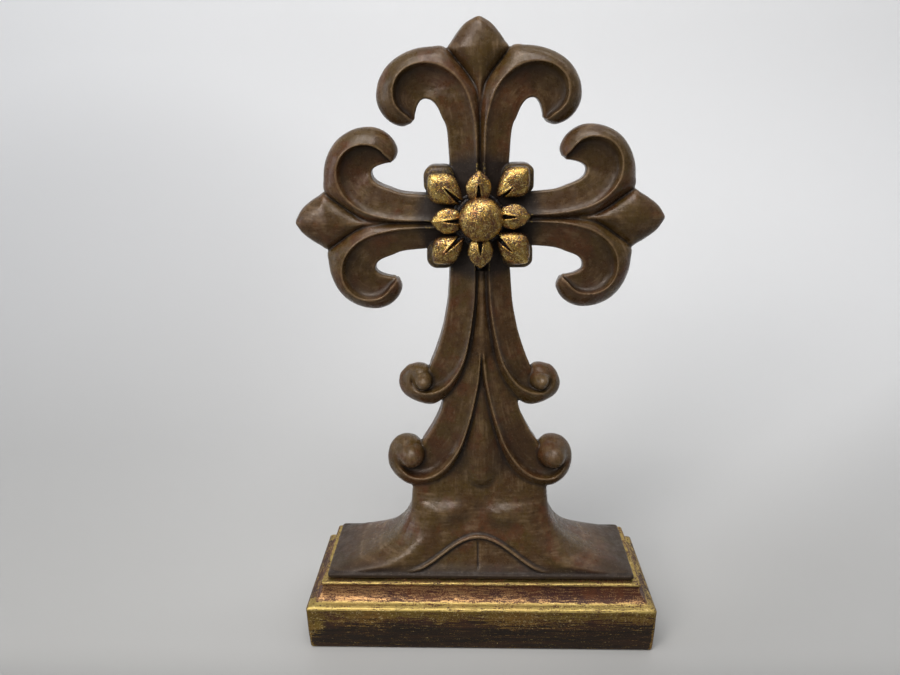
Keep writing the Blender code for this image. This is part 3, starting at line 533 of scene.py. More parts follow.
def patina(name, shade=1.0, flecks=0.0):
    """Satin brown finish: olive and reddish patches, dark hollows, rubbed ridges, lighter streaks with a
    painted sheen, painted shade in the coves and the low places, and flecks of gold.
    """
    n = Nodes(name)

    def tone(*colour):
        return tuple(shade * c for c in colour)

    cloud = n.noise(7.0, 5.0, 0.66, shift=6.1)
    mottle = n.noise(2.4, 6.0, 0.70, shift=2.2)
    flow = n.node("CombineXYZ", 0, {0: n.attribute("along"), 1: n.attribute("across")})
    streak = n.noise(1.1, 5.0, 0.62, (0.08, 1.0, 1.0), source=flow)
    hollow = n.most(n.attribute("hollow"), n.attribute("crease"))
    rub = n.span(n.attribute("edge"), 0.10, 0.80) * n.span(mottle, 0.35, 0.60, 1.0, 0.55)
    colour = n.coats(
        tone(0.058, 0.028, 0.009),
        (n.span(n.noise(24.0, 4.0, 0.6), 0.42, 0.58), tone(0.066, 0.038, 0.009)),
        (n.span(n.noise(15.0, 4.0, 0.6, shift=7.3), 0.48, 0.64), tone(0.076, 0.028, 0.009)),
        (n.span(cloud, 0.48, 0.68, 0.0, 0.46), tone(0.135, 0.082, 0.036)),
        (n.span(mottle, 0.42, 0.66, 0.0, 0.50), tone(0.030, 0.014, 0.005)),
        # Lighter streaks along the leaves: brush marks with a painted sheen on them
        (n.span(streak, 0.46, 0.68) * n.span(cloud, 0.44, 0.60, 0.08, 0.45), tone(0.19, 0.125, 0.070)),
        # Painted shade in the coves of the scrolled leaves, deepest in the curls
        (n.span(n.attribute("cove"), 0.0, 1.0, 0.0, 0.50), tone(0.024, 0.011, 0.005)),
        (n.span(hollow, 0.04, 0.75, 0.0, 0.90), (0.008, 0.004, 0.002)),
        (rub * n.span(n.attribute("ridge"), 0.0, 0.8, 0.30, 0.52), tone(0.27, 0.175, 0.090)),
        # Painted shade, near black, round the rosette, between the stem's leaves, under the tongue and on the
        # foot's pad
        (n.span(n.attribute("painted_shade"), 0.0, 1.0, 0.0, 0.88), (0.009, 0.005, 0.004)),
        (n.span(n.noise(0.6, 2.0, 0.5, shift=5.0), 0.62, 0.70) * 0.30, tone(0.22, 0.16, 0.10)),
    )
    if flecks:
        fleck = n.span(n.noise(0.7, 4.0, 0.7, shift=9.4), 0.50, 0.60, 0.0, flecks)
        colour = n.mix(fleck * n.attribute("edge"), colour, (0.55, 0.38, 0.10))
    rough = n.span(n.noise(3.5, 5.0, 0.66, shift=4.0), 0.34, 0.66, 0.20, 0.42)
    rough = rough + n.most(hollow, n.attribute("painted_shade")) * 0.24
    grain = n.bump(n.noise(6.0, 3.0, 0.5, shift=9.0), 0.45, 0.8)
    grain = n.bump(streak, 0.10, 0.7, grain)
    grain = n.bump(mottle, 0.05, 0.7, grain)
    tint = (1.0, 0.90, 0.82)
    return n.finish(Base_Color=colour, Roughness=rough, Normal=grain, IOR=1.45, Specular_Tint=tint)


def leaf_gold(name):
    """Gold leaf on the rosette, crinkled and speckled, worn to brown in its hollows."""
    n = Nodes(name)
    crinkle = n.noise(1.3, 6.0, 0.72, shift=3.0, distort=1.2)
    patches = n.noise(4.0, 4.0, 0.6, shift=6.0)
    fine = n.noise(0.55, 4.0, 0.7, shift=8.0)
    deep = n.attribute("deep")
    gold = n.coats(
        (0.56, 0.36, 0.085),
        (n.span(patches, 0.35, 0.7), (0.36, 0.19, 0.045)),
        (n.span(crinkle, 0.50, 0.62, 0.0, 0.95), (1.0, 0.82, 0.36)),
        (n.span(n.noise(3.5, 4.0, 0.6, shift=12.0), 0.50, 0.66, 0.0, 0.7), (0.50, 0.22, 0.09)),
    )
    dark = n.mix(n.span(fine, 0.4, 0.6), (0.016, 0.007, 0.004), (0.080, 0.030, 0.010))
    dark = n.mix(deep, dark, (0.010, 0.006, 0.005))
    worn = n.attribute("hollow") * 1.1 + n.attribute("crease") * 0.9 + deep
    worn = worn + n.span(fine, 0.38, 0.60, -0.30, 0.66) + n.span(patches, 0.38, 0.64, -0.16, 0.40)
    bare = n.span(worn - n.attribute("edge") * 0.35, 0.22, 0.52)
    metal = n.span(bare, 0.0, 1.0, 1.0, 0.05)
    rough = n.span(fine, 0.3, 0.7, 0.14, 0.30)
    grain = n.bump(fine, 0.08, 0.9, n.bump(crinkle, 0.30, 0.9))
    colour = n.mix(bare, gold, dark)
    return n.finish(Base_Color=colour, Metallic=metal, Roughness=rough, Normal=grain, IOR=1.5)


def plinth_gold(name):
    """Distressed gilding on the plinth: a gold band and fillet, a red clay cove, a dark streaked face."""
    n = Nodes(name)
    across, _, height = n.split()
    streak = n.noise(2.0, 6.0, 0.68, (0.05, 0.05, 1.0), shift=1.5)
    thin = n.noise(0.5, 5.0, 0.72, (0.07, 0.07, 1.0), shift=4.4)
    speck = n.noise(0.5, 5.0, 0.78, (0.6, 0.6, 1.0), shift=2.7)
    cloud = n.noise(16.0, 4.0, 0.6, (0.6, 0.6, 1.0), shift=8.1)
    crinkle = n.noise(1.2, 5.0, 0.7, shift=3.0, distort=0.9)

    ragged = height + n.span(cloud, 0.3, 0.7, -3.4, 3.4) + n.span(streak, 0.3, 0.7, -2.4, 2.4)
    band = n.span(ragged, 10.0, 23.5, 0.0, 0.80) * n.span(height, 26.8, 25.8)
    fillet = n.span(height, 33.8, 34.6, 0.0, 0.66)
    cove = n.span(height, 25.6, 26.8) * n.span(height, 34.6, 33.8)
    cove_gold = cove * (n.span(cloud, 0.35, 0.65, 0.26, 0.56) + n.span(across, -80.0, 80.0, 0.08, -0.10))
    corner = n.span(n.math("ABSOLUTE", across + 88.0), 11.0, 4.0) * n.span(ragged, 6.0, 13.0)
    corner = corner * 0.8 * n.span(height, 25.0, 24.0)
    rubbed = n.span(n.attribute("edge"), 0.25, 0.7, 0.0, 0.72)
    share = n.most(band, fillet, cove_gold, corner, rubbed, 0.08)
    share = share * n.span(n.attribute("flank"), 0.0, 1.0, 1.0, 0.34)
    share = share + n.span(thin, 0.32, 0.68, -0.38, 0.38) + n.span(speck, 0.34, 0.66, -0.34, 0.34)
    cover = n.span(share, 0.44, 0.60)

    gold = n.coats(
        (0.26, 0.18, 0.045),
        (n.span(cloud, 0.4, 0.62), (0.30, 0.17, 0.05)),
        (n.span(streak, 0.42, 0.62, 0.5, 0.0), (0.16, 0.09, 0.025)),
        (n.span(crinkle, 0.52, 0.68, 0.0, 0.75), (0.90, 0.72, 0.34)),
        # Painted highlight: lighter gold along the top edge of the band
        (n.span(height, 22.8, 24.0, 0.0, 0.5), (0.62, 0.47, 0.16)),
        (cove * 0.75, (0.52, 0.27, 0.13)),
    )
    clay = n.coats(
        (0.120, 0.040, 0.018),
        (n.span(n.noise(9.0, 4.0, 0.6, shift=5.5), 0.40, 0.62), (0.060, 0.022, 0.018)),
        (n.span(speck, 0.4, 0.6, 0.0, 0.6), (0.024, 0.009, 0.005)),
    )
    face = n.mix(n.span(streak, 0.4, 0.65), (0.006, 0.003, 0.002), (0.026, 0.011, 0.005))
    below = n.span(height + n.span(streak, 0.3, 0.7, -4.0, 4.0), 12.0, 20.0, 0.0, 0.55)
    reddish = n.most(n.span(height, 24.0, 26.2) * 0.95, below)
    colour = n.coats(face, (reddish, clay), (cover, gold))
    metal = n.span(cover, 0.0, 1.0)
    rough = n.span(speck, 0.3, 0.7, 0.28, 0.42) + n.span(cover, 0.0, 1.0, 0.10, 0.0)
    grain = n.bump(streak, 0.16, 0.7)
    grain = n.bump(crinkle, 0.22, 0.8, grain)
    grain = n.bump(speck, 0.10, 0.9, grain)
    looks = dict(Base_Color=colour, Metallic=metal, Roughness=rough, Normal=grain)
    return n.finish(IOR=1.38, Specular_Tint=(1.0, 0.86, 0.72), **looks)


def steel(name):
    n = Nodes(name)
    scratch = n.noise(0.5, 4.0, 0.6, (1.0, 1.0, 0.08))
    colour = n.mix(n.span(n.noise(4.0, 3.0, 0.6), 0.35, 0.7), (0.50, 0.50, 0.51), (0.36, 0.35, 0.34))
    rough = n.span(scratch, 0.3, 0.7, 0.24, 0.44)
    return n.finish(Base_Color=colour, Metallic=1.0, Roughness=rough, Normal=n.bump(scratch, 0.01, 0.6))


def felt(name):
    n = Nodes(name)
    fibres = n.noise(0.35, 4.0, 0.75, distort=2.0)
    tufts = n.noise(2.2, 4.0, 0.7)
    colour = n.mix(n.span(fibres, 0.3, 0.7), (0.012, 0.045, 0.022), (0.035, 0.105, 0.055))
    colour = n.mix(n.span(tufts, 0.4, 0.7, 0.0, 0.5), colour, (0.02, 0.06, 0.035))
    fuzz = n.bump(fibres, 0.12, 0.9, n.bump(tufts, 0.2, 0.5))
    return n.finish(Base_Color=colour, Roughness=0.95, Normal=fuzz, Sheen_Weight=0.4, Sheen_Roughness=0.5)


MATERIALS = {
    "patina": patina("patina"),
    "dark_patina": patina("dark_patina", 0.5, 0.6),
    "gold_leaf": leaf_gold("gold_leaf"),
    "plinth_gilding": plinth_gold("plinth_gilding"),
    "steel": steel("steel"),
    "felt": felt("felt"),
}


# ---------------------------------------------------------------- cast leaves


def cove_profile(share, scoop):
    """Height of the cove, from the ridge at 0 to the inner edge at 1, as a share of the ridge's."""
    flat = 1 - 0.15 * (1 - np.exp(-share / 0.09)) - 0.30 * share
    bowl = 0.38 + 0.36 * np.exp(-((share / 0.07) ** 1.2)) + 0.26 * (1 - share) ** 2.2
    return flat + (bowl - flat) * scoop


ROLL = np.linspace(0, 1, 12)
COVE = np.linspace(0, 1, 18)[1:]
ROUND = np.linspace(0, pi / 2, 5)[1:]
ROLL_TURN = radians(66)
RIDGE_WIDTH = 1.0


def leaf_ring(outer, ridge, inner, height, scoop):
    """One section of a leaf as (along, across, y, depth in the cove): a rounded outer side, a ridge, a
    cove and the same behind."""
    outer, ridge, inner = (np.asarray(p, float) for p in (outer, ridge, inner))
    width = max(np.linalg.norm(inner - ridge), 1e-3)
    corner = min(1.3, 0.42 * width)
    away = (inner - ridge) / width
    angle = ROLL_TURN * ROLL
    roll_out = (1 - np.cos(angle)) / (1 - cos(ROLL_TURN))
    roll_up = np.sin(angle) / sin(ROLL_TURN)
    sides = []
    for sign, share in ((-1, 1.0), (1, BACK_SHARE)):
        reach = height * share
        roll = [(outer + (ridge - outer) * out, sign * reach * up, 0.0) for out, up in zip(roll_out, roll_up)]
        flat_share = COVE * (1 - corner / width)
        depth = scoop * ease(0.0, 0.12, flat_share) * (1 - 0.7 * flat_share)
        lift = sign * reach * cove_profile(flat_share, scoop)
        face = [(ridge + (inner - ridge) * s, y, d) for s, y, d in zip(flat_share, lift, depth)]
        edge_y = abs(face[-1][1])
        start = face[-1][0]
        drop = min(corner, 0.6 * edge_y)
        bend = []
        for a in ROUND:
            bend.append((start + away * corner * sin(a), sign * (edge_y - drop * (1 - cos(a))), 0.0))
        sides.append(roll + face + bend)
    ring = sides[0] + sides[1][::-1][:-1]
    return np.array([(*place, y, depth) for place, y, depth in ring])


def add_leaf(body, rows, locate, scoop_rows):
    """A leaf lofted through its rows. scoop_rows are the rows between which its cove deepens."""
    flat = [(*outer, *ridge, *inner, height, i) for i, (outer, ridge, inner, height) in enumerate(rows)]
    rings, flow = [], []
    along, previous = 0.0, np.array(rows[0][1], float)
    for o1, o2, r1, r2, i1, i2, height, index in smooth_rows(flat, STEPS):
        ring = leaf_ring((o1, o2), (r1, r2), (i1, i2), height, float(ease(*scoop_rows, index)))
        ridge = np.array((r1, r2))
        along += float(np.linalg.norm(ridge - previous))
        previous = ridge
        across = np.linalg.norm(ring[:, :2] - ridge, axis=1)
        crest = np.exp(-((across / RIDGE_WIDTH) ** 2))
        rings.append([locate(*point) for point in ring[:, :3]])
        flow.append(np.stack([np.full(len(ring), along), across, crest, ring[:, 3]], axis=1))
    body.loft(rings, np.array(flow))


def add_bud(body, rows, locate):
    """A lozenge with a soft ridge down its middle, front and back."""
    u = np.linspace(-1, 1, 33)
    rise = (1.04 - 0.34 * np.sqrt(u**2 + 0.014)) * np.sqrt(1 - np.abs(u) ** 4)
    rings, flow = [], []
    for along, half, height in smooth_rows(rows, STEPS):
        front = [(half * a, -height * r) for a, r in zip(u, rise)]
        back = [(half * a, BACK_SHARE * height * r) for a, r in zip(u, rise)][::-1][1:-1]
        ring = front + back
        rings.append([locate(along, across, y) for across, y in ring])
        flow.append([(along, c, 0.5 * exp(-((c / RIDGE_WIDTH) ** 2)), 0.0) for c, _ in ring])
    body.loft(rings, flow)


def arm_locator(direction):
    """Turns a leaf's (along, across, y) into a place on one arm, whose front sways a little to one side."""
    sway = ARM_SWAY[direction]
    if direction == "top":
        return lambda along, across, y: (across + sway * max(0.0, -y), y, ARM_AXIS_Z + along)
    sign = 1 if direction == "right" else -1
    return lambda along, across, y: (sign * along, y, ARM_AXIS_Z + across + sway * max(0.0, -y))


def stem_locator(side):
    """Turns a stem leaf's (across, height, y) into a place, with the same sway to the front."""
    return lambda across, height, y: (side * across + STEM_SWAY * max(0.0, -y), y, height)


def flipped(locate):
    return lambda along, across, y: locate(along, -across, y)


def stretched(rows, stretch, slide, spread):
    return [(*[(a * stretch + slide, c * spread) for a, c in points], height) for *points, height in rows]


def make_casting(body, node, slot, shade_at, cuts, voxel=VOXEL, blend=None, **wear):
    """Turns a body into a weathered casting, cut off flat where it meets its neighbours."""
    data = remeshed(body, node + "_cast", voxel)
    if blend:
        blend(data)
    weather(data, **wear)
    carry_flow(data, body)
    # Stores the painted shade at every point, for the patina to darken by
    set_attribute(data, "painted_shade", shade_at(points_of(data)))
    for place, outward in cuts:
        cut_flat(data, place, outward)
    piece_from(data, node + "_cast", node, slot)


def rosette_shade(points):
    """Painted shade that gathers round the rosette."""
    return ease(SHADE_FAR, SHADE_NEAR, np.hypot(points[:, 0], points[:, 2] - ROSETTE_Z))


def make_arm(direction):
    locate = arm_locator(direction)
    rows, bud, root = LEAF_ROWS, BUD_ROWS, BLOCK_HALF
    if direction == "top":
        root += ROSETTE_Z - ARM_AXIS_Z
        rows = stretched(LEAF_ROWS, TOP_LEAF_STRETCH, TOP_LEAF_SLIDE, TOP_LEAF_SPREAD)
        bud = [(a * TOP_BUD_STRETCH + TOP_BUD_SLIDE, w, h) for a, w, h in BUD_ROWS]
    first = [(root - SPARE, c) for _, c in rows[0][:3]]
    rows = [(*first, rows[0][3]), *rows[1:]]
    root_half, tail_half, depth = ARM_CORE
    body = Body()
    add_leaf(body, rows, locate, ARM_SCOOP)
    add_leaf(body, rows, flipped(locate), ARM_SCOOP)
    add_bud(body, bud, locate)
    corners = ((1, -1), (1, 1), (-1, 1), (-1, -1))
    core = ((root - SPARE, root_half), (bud[3][0], tail_half))
    body.loft([[locate(along, s * half, t * depth) for s, t in corners] for along, half in core])
    inward = Vector(locate(-1, 0, 0)) - Vector(locate(0, 0, 0))
    cuts = [(locate(root + SEAM, 0, 0), inward)]
    make_casting(body, direction + "_arm", "patina", rosette_shade, cuts, fill=CREASE_ROUNDS)


def add_eye(body, eye, locate):
    across, height, radius, front = eye
    turns = np.linspace(0, 2 * pi, 41)[:-1]
    rings = []
    for a in np.linspace(0, pi, 25)[1:-1]:
        reach = front if cos(a) > 0 else BACK_SHARE * front
        r, y = radius * sin(a), -reach * cos(a)
        rings.append([locate(across + r * cos(t), height + r * sin(t), y) for t in turns])
    body.loft(rings)


def blend_eyes(data):
    """Smooths away the crease between each eye and the outer side of its scroll."""
    points = points_of(data)
    share = np.zeros(len(points))
    for across, height, radius, _ in SOCKETS:
        dx, dz = np.abs(points[:, 0] - STEM_SWAY * 5) - across, points[:, 2] - height
        away = np.hypot(dx, dz)
        outward = (0.94 * dx + 0.34 * dz) / np.maximum(away, 1e-6)
        ring = ease(0.45, 0.7, away / radius) * ease(1.8, 1.5, away / radius)
        share = np.maximum(share, ring * ease(-0.35, 0.25, outward))
    move_points(data, relax(points, edge_ends(data), EYE_BLEND_ROUNDS, 0.5 * share[:, None]))


def swell_at(points):
    """How far the core's front is lifted at places on it."""
    heights, widths, lifts = zip(*SWELL[::-1])
    share = np.clip((points[:, 0] - FRONT_SWAY) / np.interp(points[:, 2], heights, widths), -1, 1)
    return np.interp(points[:, 2], heights, lifts) * (0.5 + 0.5 * np.cos(pi * share))


def tongue_tip(points):
    """How close places are to the curved groove under the tongue, from 0 to 1."""
    x, z = points[:, 0] - FRONT_SWAY, points[:, 2]
    return np.exp(-(((z - 81.3 - 0.055 * x**2) / 3.4) ** 2)) * ease(12.0, 3.0, np.abs(x))


def swelled(ring):
    """Lifts the front of one of the core's rings by its swell, less the groove under the tongue."""
    ring[:, 1] -= ease(2.0, 4.5, -ring[:, 1]) * (swell_at(ring) - TONGUE_GROOVE * tongue_tip(ring))
    return ring


def stem_shade(points):
    """Painted shade in the low places between the two rows of leaves and a painted shadow under the tongue,
    on top of the painted shade by the rosette.
    """
    x, z = np.abs(points[:, 0] - FRONT_SWAY), points[:, 2]
    upper = (UPPER_STEM_ROWS[:7], 2.4, ease(151.0, 156.0, z))
    lower = (LOWER_STEM_ROWS[:12], 4.2, ease(80.0, 97.0, z) * ease(156.0, 149.0, z))
    low = 0.34 * tongue_tip(points)
    for rows, deep, inside in (upper, lower):
        heights, edges = zip(*sorted((height, across) for (across, height), *_ in rows))
        between = ease(2.2, 0.3, x - np.interp(z, heights, edges))
        low = np.maximum(low, 0.70 * between * inside * (1 - np.clip(swell_at(points) / deep, 0, 1)))
    return np.maximum(low * ease(0.0, 2.0, -points[:, 1]), rosette_shade(points))


def squarish_ring(half_width, half_depth, power, z):
    """A ring of points round a squarish outline, even by angle from its centre."""
    turns = (np.arange(RING_POINTS) + 0.5) / RING_POINTS * 2 * pi
    c, s = np.cos(turns), np.sin(turns)
    reach = (np.abs(c / half_width) ** power + np.abs(s / half_depth) ** power) ** (-1 / power)
    return np.stack([reach * c, reach * s, np.full_like(c, z)], axis=1)


def make_stem():
    body = Body()
    top = ROSETTE_Z - BLOCK_HALF
    first = [(a, top + SPARE) for a, _ in UPPER_STEM_ROWS[0][:3]]
    upper = [(*first, UPPER_STEM_ROWS[0][3]), *UPPER_STEM_ROWS[1:]]
    core = smooth_rows(STEM_CORE, 14)
    body.loft([swelled(squarish_ring(w, d, NECK_SQUARENESS, z)) for z, w, d in core])
    for side in (1, -1):
        locate = stem_locator(side)
        add_leaf(body, upper, locate, UPPER_SCOOP)
        add_leaf(body, LOWER_STEM_ROWS, locate, LOWER_SCOOP)
        for eye in (UPPER_EYE, LOWER_EYE, *SOCKETS):
            add_eye(body, eye, locate)
    cuts = [((0, 0, top - SEAM), (0, 0, 1)), ((0, 0, FOOT_HIGH[2] + SEAM), (0, 0, -1))]
    make_casting(body, "stem", "patina", stem_shade, cuts, STEM_VOXEL, blend_eyes, fill=CREASE_ROUNDS)


# ---------------------------------------------------------------- foot and plinth


BELL = smooth_rows(BELL_LEVELS, 12)


def bell_level(z):
    """The bell's half width, half depth and squareness at a height."""
    return [float(np.interp(z, BELL[:, 0], column)) for column in BELL.T[1:]]


def arch_height(x):
    share = np.minimum(1.0, np.abs(x - ARCH_CENTRE) / ARCH_HALF_SPAN)
    return ARCH_FOOT_Z + ARCH_RISE * (0.5 + 0.5 * np.cos(pi * share))


def shape_front(points):
    """Works the knees, the legs, the dip between them and the arched panel into the bell's front."""
    x, y, z = points.T
    knees = sum(
        lift * np.exp(-(((x - cx) / wide) ** 2) - ((z - cz) / tall) ** 2)
        for cx, cz, wide, tall, lift in KNEES
    )
    knees = knees * ease(76.8, 70.5, z)
    heights, middles, widths, lifts = zip(*LEG)
    leg_off = (np.abs(x) - np.interp(z, heights, middles)) / np.interp(z, heights, widths)
    legs = np.interp(z, heights, lifts) * np.exp(-(leg_off**2))
    sag = 0.9 * np.exp(-(((z - 61.0) / 4.5) ** 2) - (x / 18.0) ** 2)
    above = z - arch_height(x)
    near = ease(ARCH_HALF_SPAN + 2.0, ARCH_HALF_SPAN - 4.0, np.abs(x - ARCH_CENTRE))
    panel = PANEL_DEPTH * near * ease(0.1, -0.9, above) * ease(PAD_TOP - 2.0, PAD_TOP + 5.0, z)
    undercut = 0.30 * near * np.exp(-(((above - 1.9) / 0.8) ** 2))
    groove = 0.8 * ease(PAD_TOP + 1.2, PAD_TOP + 2.4, z) * ease(-2.6, -3.6, above) * near
    groove = groove * ease(0.85, 0.25, np.abs(x - GROOVE_X))
    lift = knees + legs - sag - panel - undercut - groove
    return np.stack([x, y - ease(4.0, 8.0, -y) * lift, z], axis=1)


def rounded_rectangle(half_width, half_depth, corner, steps=6, sides=(1, 1)):
    """Points round a rectangle centred on the origin, with steps in each corner and so many in its long
    and its short sides."""

    def at(quarter, angle):
        sx, sy = ((1, 1), (-1, 1), (-1, -1), (1, -1))[quarter % 4]
        centre = np.array((sx * (half_width - corner), sy * (half_depth - corner)))
        return centre + corner * np.array((cos(angle), sin(angle)))

    points = []
    for quarter in range(4):
        points += [at(quarter, pi / 2 * (quarter + step / steps)) for step in range(steps + 1)]
        start, end = points[-1], at(quarter + 1, pi / 2 * (quarter + 1))
        count = sides[quarter % 2]
        points += [start + (end - start) * i / count for i in range(1, count)]
    return points


def sideways_flow(rings, ridge):
    """Flow that runs across the front, all of it as close to a ridge as ridge says."""
    still = np.zeros(rings.shape[:2])
    return np.stack([rings[..., 0], rings[..., 2], still + ridge, still], axis=2)


def foot_shade(points):
    """Painted shade on the pad, darkest along its front edge."""
    z = points[:, 2]
    front = ease(-FOOT_LOW[1] - 5.0, -FOOT_LOW[1] - 1.5, -points[:, 1])
    rim = 1.15 * front * ease(PAD_TOP + 2.6, PAD_TOP - 0.3, z)
    return np.maximum(0.68 * ease(PAD_TOP + 7.0, PAD_TOP + 0.5, z), rim)


def make_foot():
    body = Body()
    levels = np.arange(FOOT_LOW[2] + 0.9, FOOT_HIGH[2] + SPARE + 0.2, 0.45)
    bell = np.array([shape_front(squarish_ring(*bell_level(z), z)) for z in levels])
    body.loft(bell, sideways_flow(bell, 0.0))
    turns = np.linspace(0, 2 * pi, 21)[:-1]
    rib = []
    for x in np.linspace(ARCH_CENTRE - ARCH_HALF_SPAN + 1, ARCH_CENTRE + ARCH_HALF_SPAN - 1, 121):
        z = float(arch_height(x))
        _, depth, _ = bell_level(z)
        radius = RIB_RADIUS * (0.35 + 0.65 * float(ease(1.0, 0.72, abs(x - ARCH_CENTRE) / ARCH_HALF_SPAN)))
        rib.append([(x, -depth + 0.1 + radius * cos(a), z + radius * sin(a)) for a in turns])
    body.loft(rib, sideways_flow(np.array(rib), 1.0))
    half_width, half_depth, _ = (FOOT_HIGH - FOOT_LOW) / 2
    base, top = FOOT_LOW[2], PAD_TOP
    levels = ((0.5, base), (0.1, base + 0.3), (0.0, top - 0.7), (0.15, top - 0.25), (0.6, top))
    rings = []
    for inset, z in levels:
        outline = rounded_rectangle(half_width - inset, half_depth - inset, PAD_CORNER)
        rings.append([(x, y, z) for x, y in outline])
    body.loft(rings)
    cuts = [((0, 0, FOOT_HIGH[2] - SEAM), (0, 0, 1))]
    make_casting(body, "foot", "patina", foot_shade, cuts, FOOT_VOXEL, seed=8.4, fill=8)


def make_plinth():
    """A moulded block with softly worn edges and a recess for the felt underneath."""
    half_width, half_depth, _ = (PLINTH_HIGH - PLINTH_LOW) / 2
    base, top = PLINTH_LOW[2], PLINTH_HIGH[2]
    _, felt_high = node_box("felt_pad")
    room, middle = half_width - felt_high[0] - FELT_ROOM, half_depth - 1.0
    profile = [(middle, felt_high[2] + FELT_ROOM), (room + 0.2, felt_high[2] + FELT_ROOM)]
    profile += [(room, felt_high[2]), (room, base + 0.3), (room - 0.4, base), (1.9, base)]
    profile += list(smooth_rows(PLINTH_PROFILE, 6))
    profile += [(inset, top) for inset in np.linspace(PLINTH_PROFILE[-1][0] + 0.5, middle, 12)]
    rings = []
    for inset, z in profile:
        w, d = half_width - inset, half_depth - inset
        outline = rounded_rectangle(w, d, min(PLINTH_CORNER, 0.8 * d), 6, PLINTH_SIDES)
        rings.append([(x, y, z) for x, y in outline])
    data = Body().loft(rings).mesh("plinth_gilt")
    points = points_of(data)
    lift = 0.16 * fractal(points, 22.0, 3, 5.0) + 0.05 * fractal(points * (0.3, 0.3, 1.0), 3.0, 2, 9.0)
    lift = lift * ease(base + 0.2, base + 2.0, points[:, 2]) - 0.1
    move_points(data, points + normals_of(data) * lift[:, None])
    points, normals = points_of(data), normals_of(data)
    worn = ((points - relax(points, edge_ends(data), 6)) * normals).sum(1) / 0.10
    set_attribute(data, "edge", np.clip(worn, 0, 1))
    from_side, from_front = half_width - np.abs(points[:, 0]), half_depth - np.abs(points[:, 1])
    beside = ease(8.8, 7.0, from_side) * ease(7.0, 9.0, from_front)
    flank = np.maximum(ease(0.45, 0.75, np.abs(normals[:, 0])), beside)
    set_attribute(data, "flank", flank * np.where(points[:, 0] > 0, 0.6, 1.0))
    piece_from(data, "plinth_gilt", "plinth", "plinth_gilding")


# ---------------------------------------------------------------- rosette


def circle(radius, y, count, shift=(0.0, 0.0)):
    """Points round the rosette's axis, or round a place shifted from it."""
    turns = np.arange(count) / count * 2 * pi
    return [(shift[0] + radius * cos(a), y, ROSETTE_Z + shift[1] + radius * sin(a)) for a in turns]


def mirrored(sx, sz):
    """Turns a place by the rosette into the same place in the corner with these signs."""
    return lambda x, y, z: (sx * x, y, ROSETTE_Z + sz * z)


def quarter_turn(quarter, dx, dz):
    """Turns a place on the top side petal into the same place on another one, after a small shift."""
    c, s = ((1, 0), (0, 1), (-1, 0), (0, -1))[quarter]
    return lambda x, y, z: ((x + dx) * c - (z + dz) * s, y, ROSETTE_Z + (x + dx) * s + (z + dz) * c)


def add_lobe(body, reach, turn):
    """A corner lobe: a block of rounded plan, with its front and back edges rounded too."""
    centre = [(LOBE_INNER + r) / 2 for r in reach]
    half = [(r - LOBE_INNER) / 2 for r in reach]
    bend = [(LOBE_EDGE * (1 - sin(a)), LOBE_EDGE * (1 - cos(a))) for a in np.linspace(0, pi / 2, 8)]
    levels = [(inset, run - LOBE_FRONT) for inset, run in bend]
    levels += [(inset, BLOCK_BACK - 1.0 - run) for inset, run in bend[::-1]]
    rings = []
    for inset, y in levels:
        outline = rounded_rectangle(half[0] - inset, half[1] - inset, max(LOBE_CORNER - inset, 0.4), 8)
        rings.append([turn(centre[0] + x, y, centre[1] + z) for x, z in outline])
    body.loft(rings)


def make_crossing_block():
    """Four corner lobes on a back plate, with the limbs' leaves running in between them."""
    body = Body()
    half = BLOCK_HALF
    rings, rear = [], BLOCK_BACK
    for inset, y in ((2.0, rear), (0.6, rear - 1.4), (0.0, rear - 3.0), (0.0, -2.0), (1.5, -3.6)):
        outline = rounded_rectangle(half - inset - 0.6, half - inset - 1.6, 4.5)
        rings.append([(x, y, ROSETTE_Z + z) for x, z in outline])
    body.loft(rings)
    for sx, sz, across, up in LOBES:
        add_lobe(body, (min(across, half + 0.6), up), mirrored(sx, sz))
    for direction in ARM_SWAY:
        locate = arm_locator(direction)
        centre, spread = (ROSETTE_Z - ARM_AXIS_Z, TOP_LEAF_SPREAD) if direction == "top" else (0.0, 1.0)
        values = [c * spread for _, c in LEAF_ROWS[0][:3]]
        places = (centre + 6.0, centre + 14.0, centre + half + SPARE)
        rows = [(*[(a, c) for c in values], LEAF_ROWS[0][3]) for a in places]
        add_leaf(body, rows, locate, ARM_SCOOP)
        add_leaf(body, rows, flipped(locate), ARM_SCOOP)
    for side in (1, -1):
        values = [a for a, _ in UPPER_STEM_ROWS[0][:3]]
        heights = (ROSETTE_Z - half - SPARE, ROSETTE_Z - 14.0, ROSETTE_Z - 6.0)
        rows = [(*[(a, z) for a in values], UPPER_STEM_ROWS[0][3]) for z in heights]
        add_leaf(body, rows, stem_locator(side), ARM_SCOOP)
    reach = half + 0.02
    cuts = [((0, 0, ROSETTE_Z + s * reach), (0, 0, s)) for s in (1, -1)]
    cuts += [((s * reach, 0, 0), (s, 0, 0)) for s in (1, -1)]
    make_casting(body, "crossing_block", "dark_patina", rosette_shade, cuts, BLOCK_VOXEL, seed=5.7)


def even_outline(points, count):
    """A smooth closed outline with count points, evenly spread."""
    curve = smooth_rows(points, OUTLINE_STEPS, closed=True)
    length = np.append(0, np.cumsum(np.linalg.norm(np.diff(curve, axis=0), axis=1)))
    places = np.linspace(0, length[-1], count, endpoint=False)
    return np.stack([np.interp(places, length, column) for column in curve.T], axis=1)


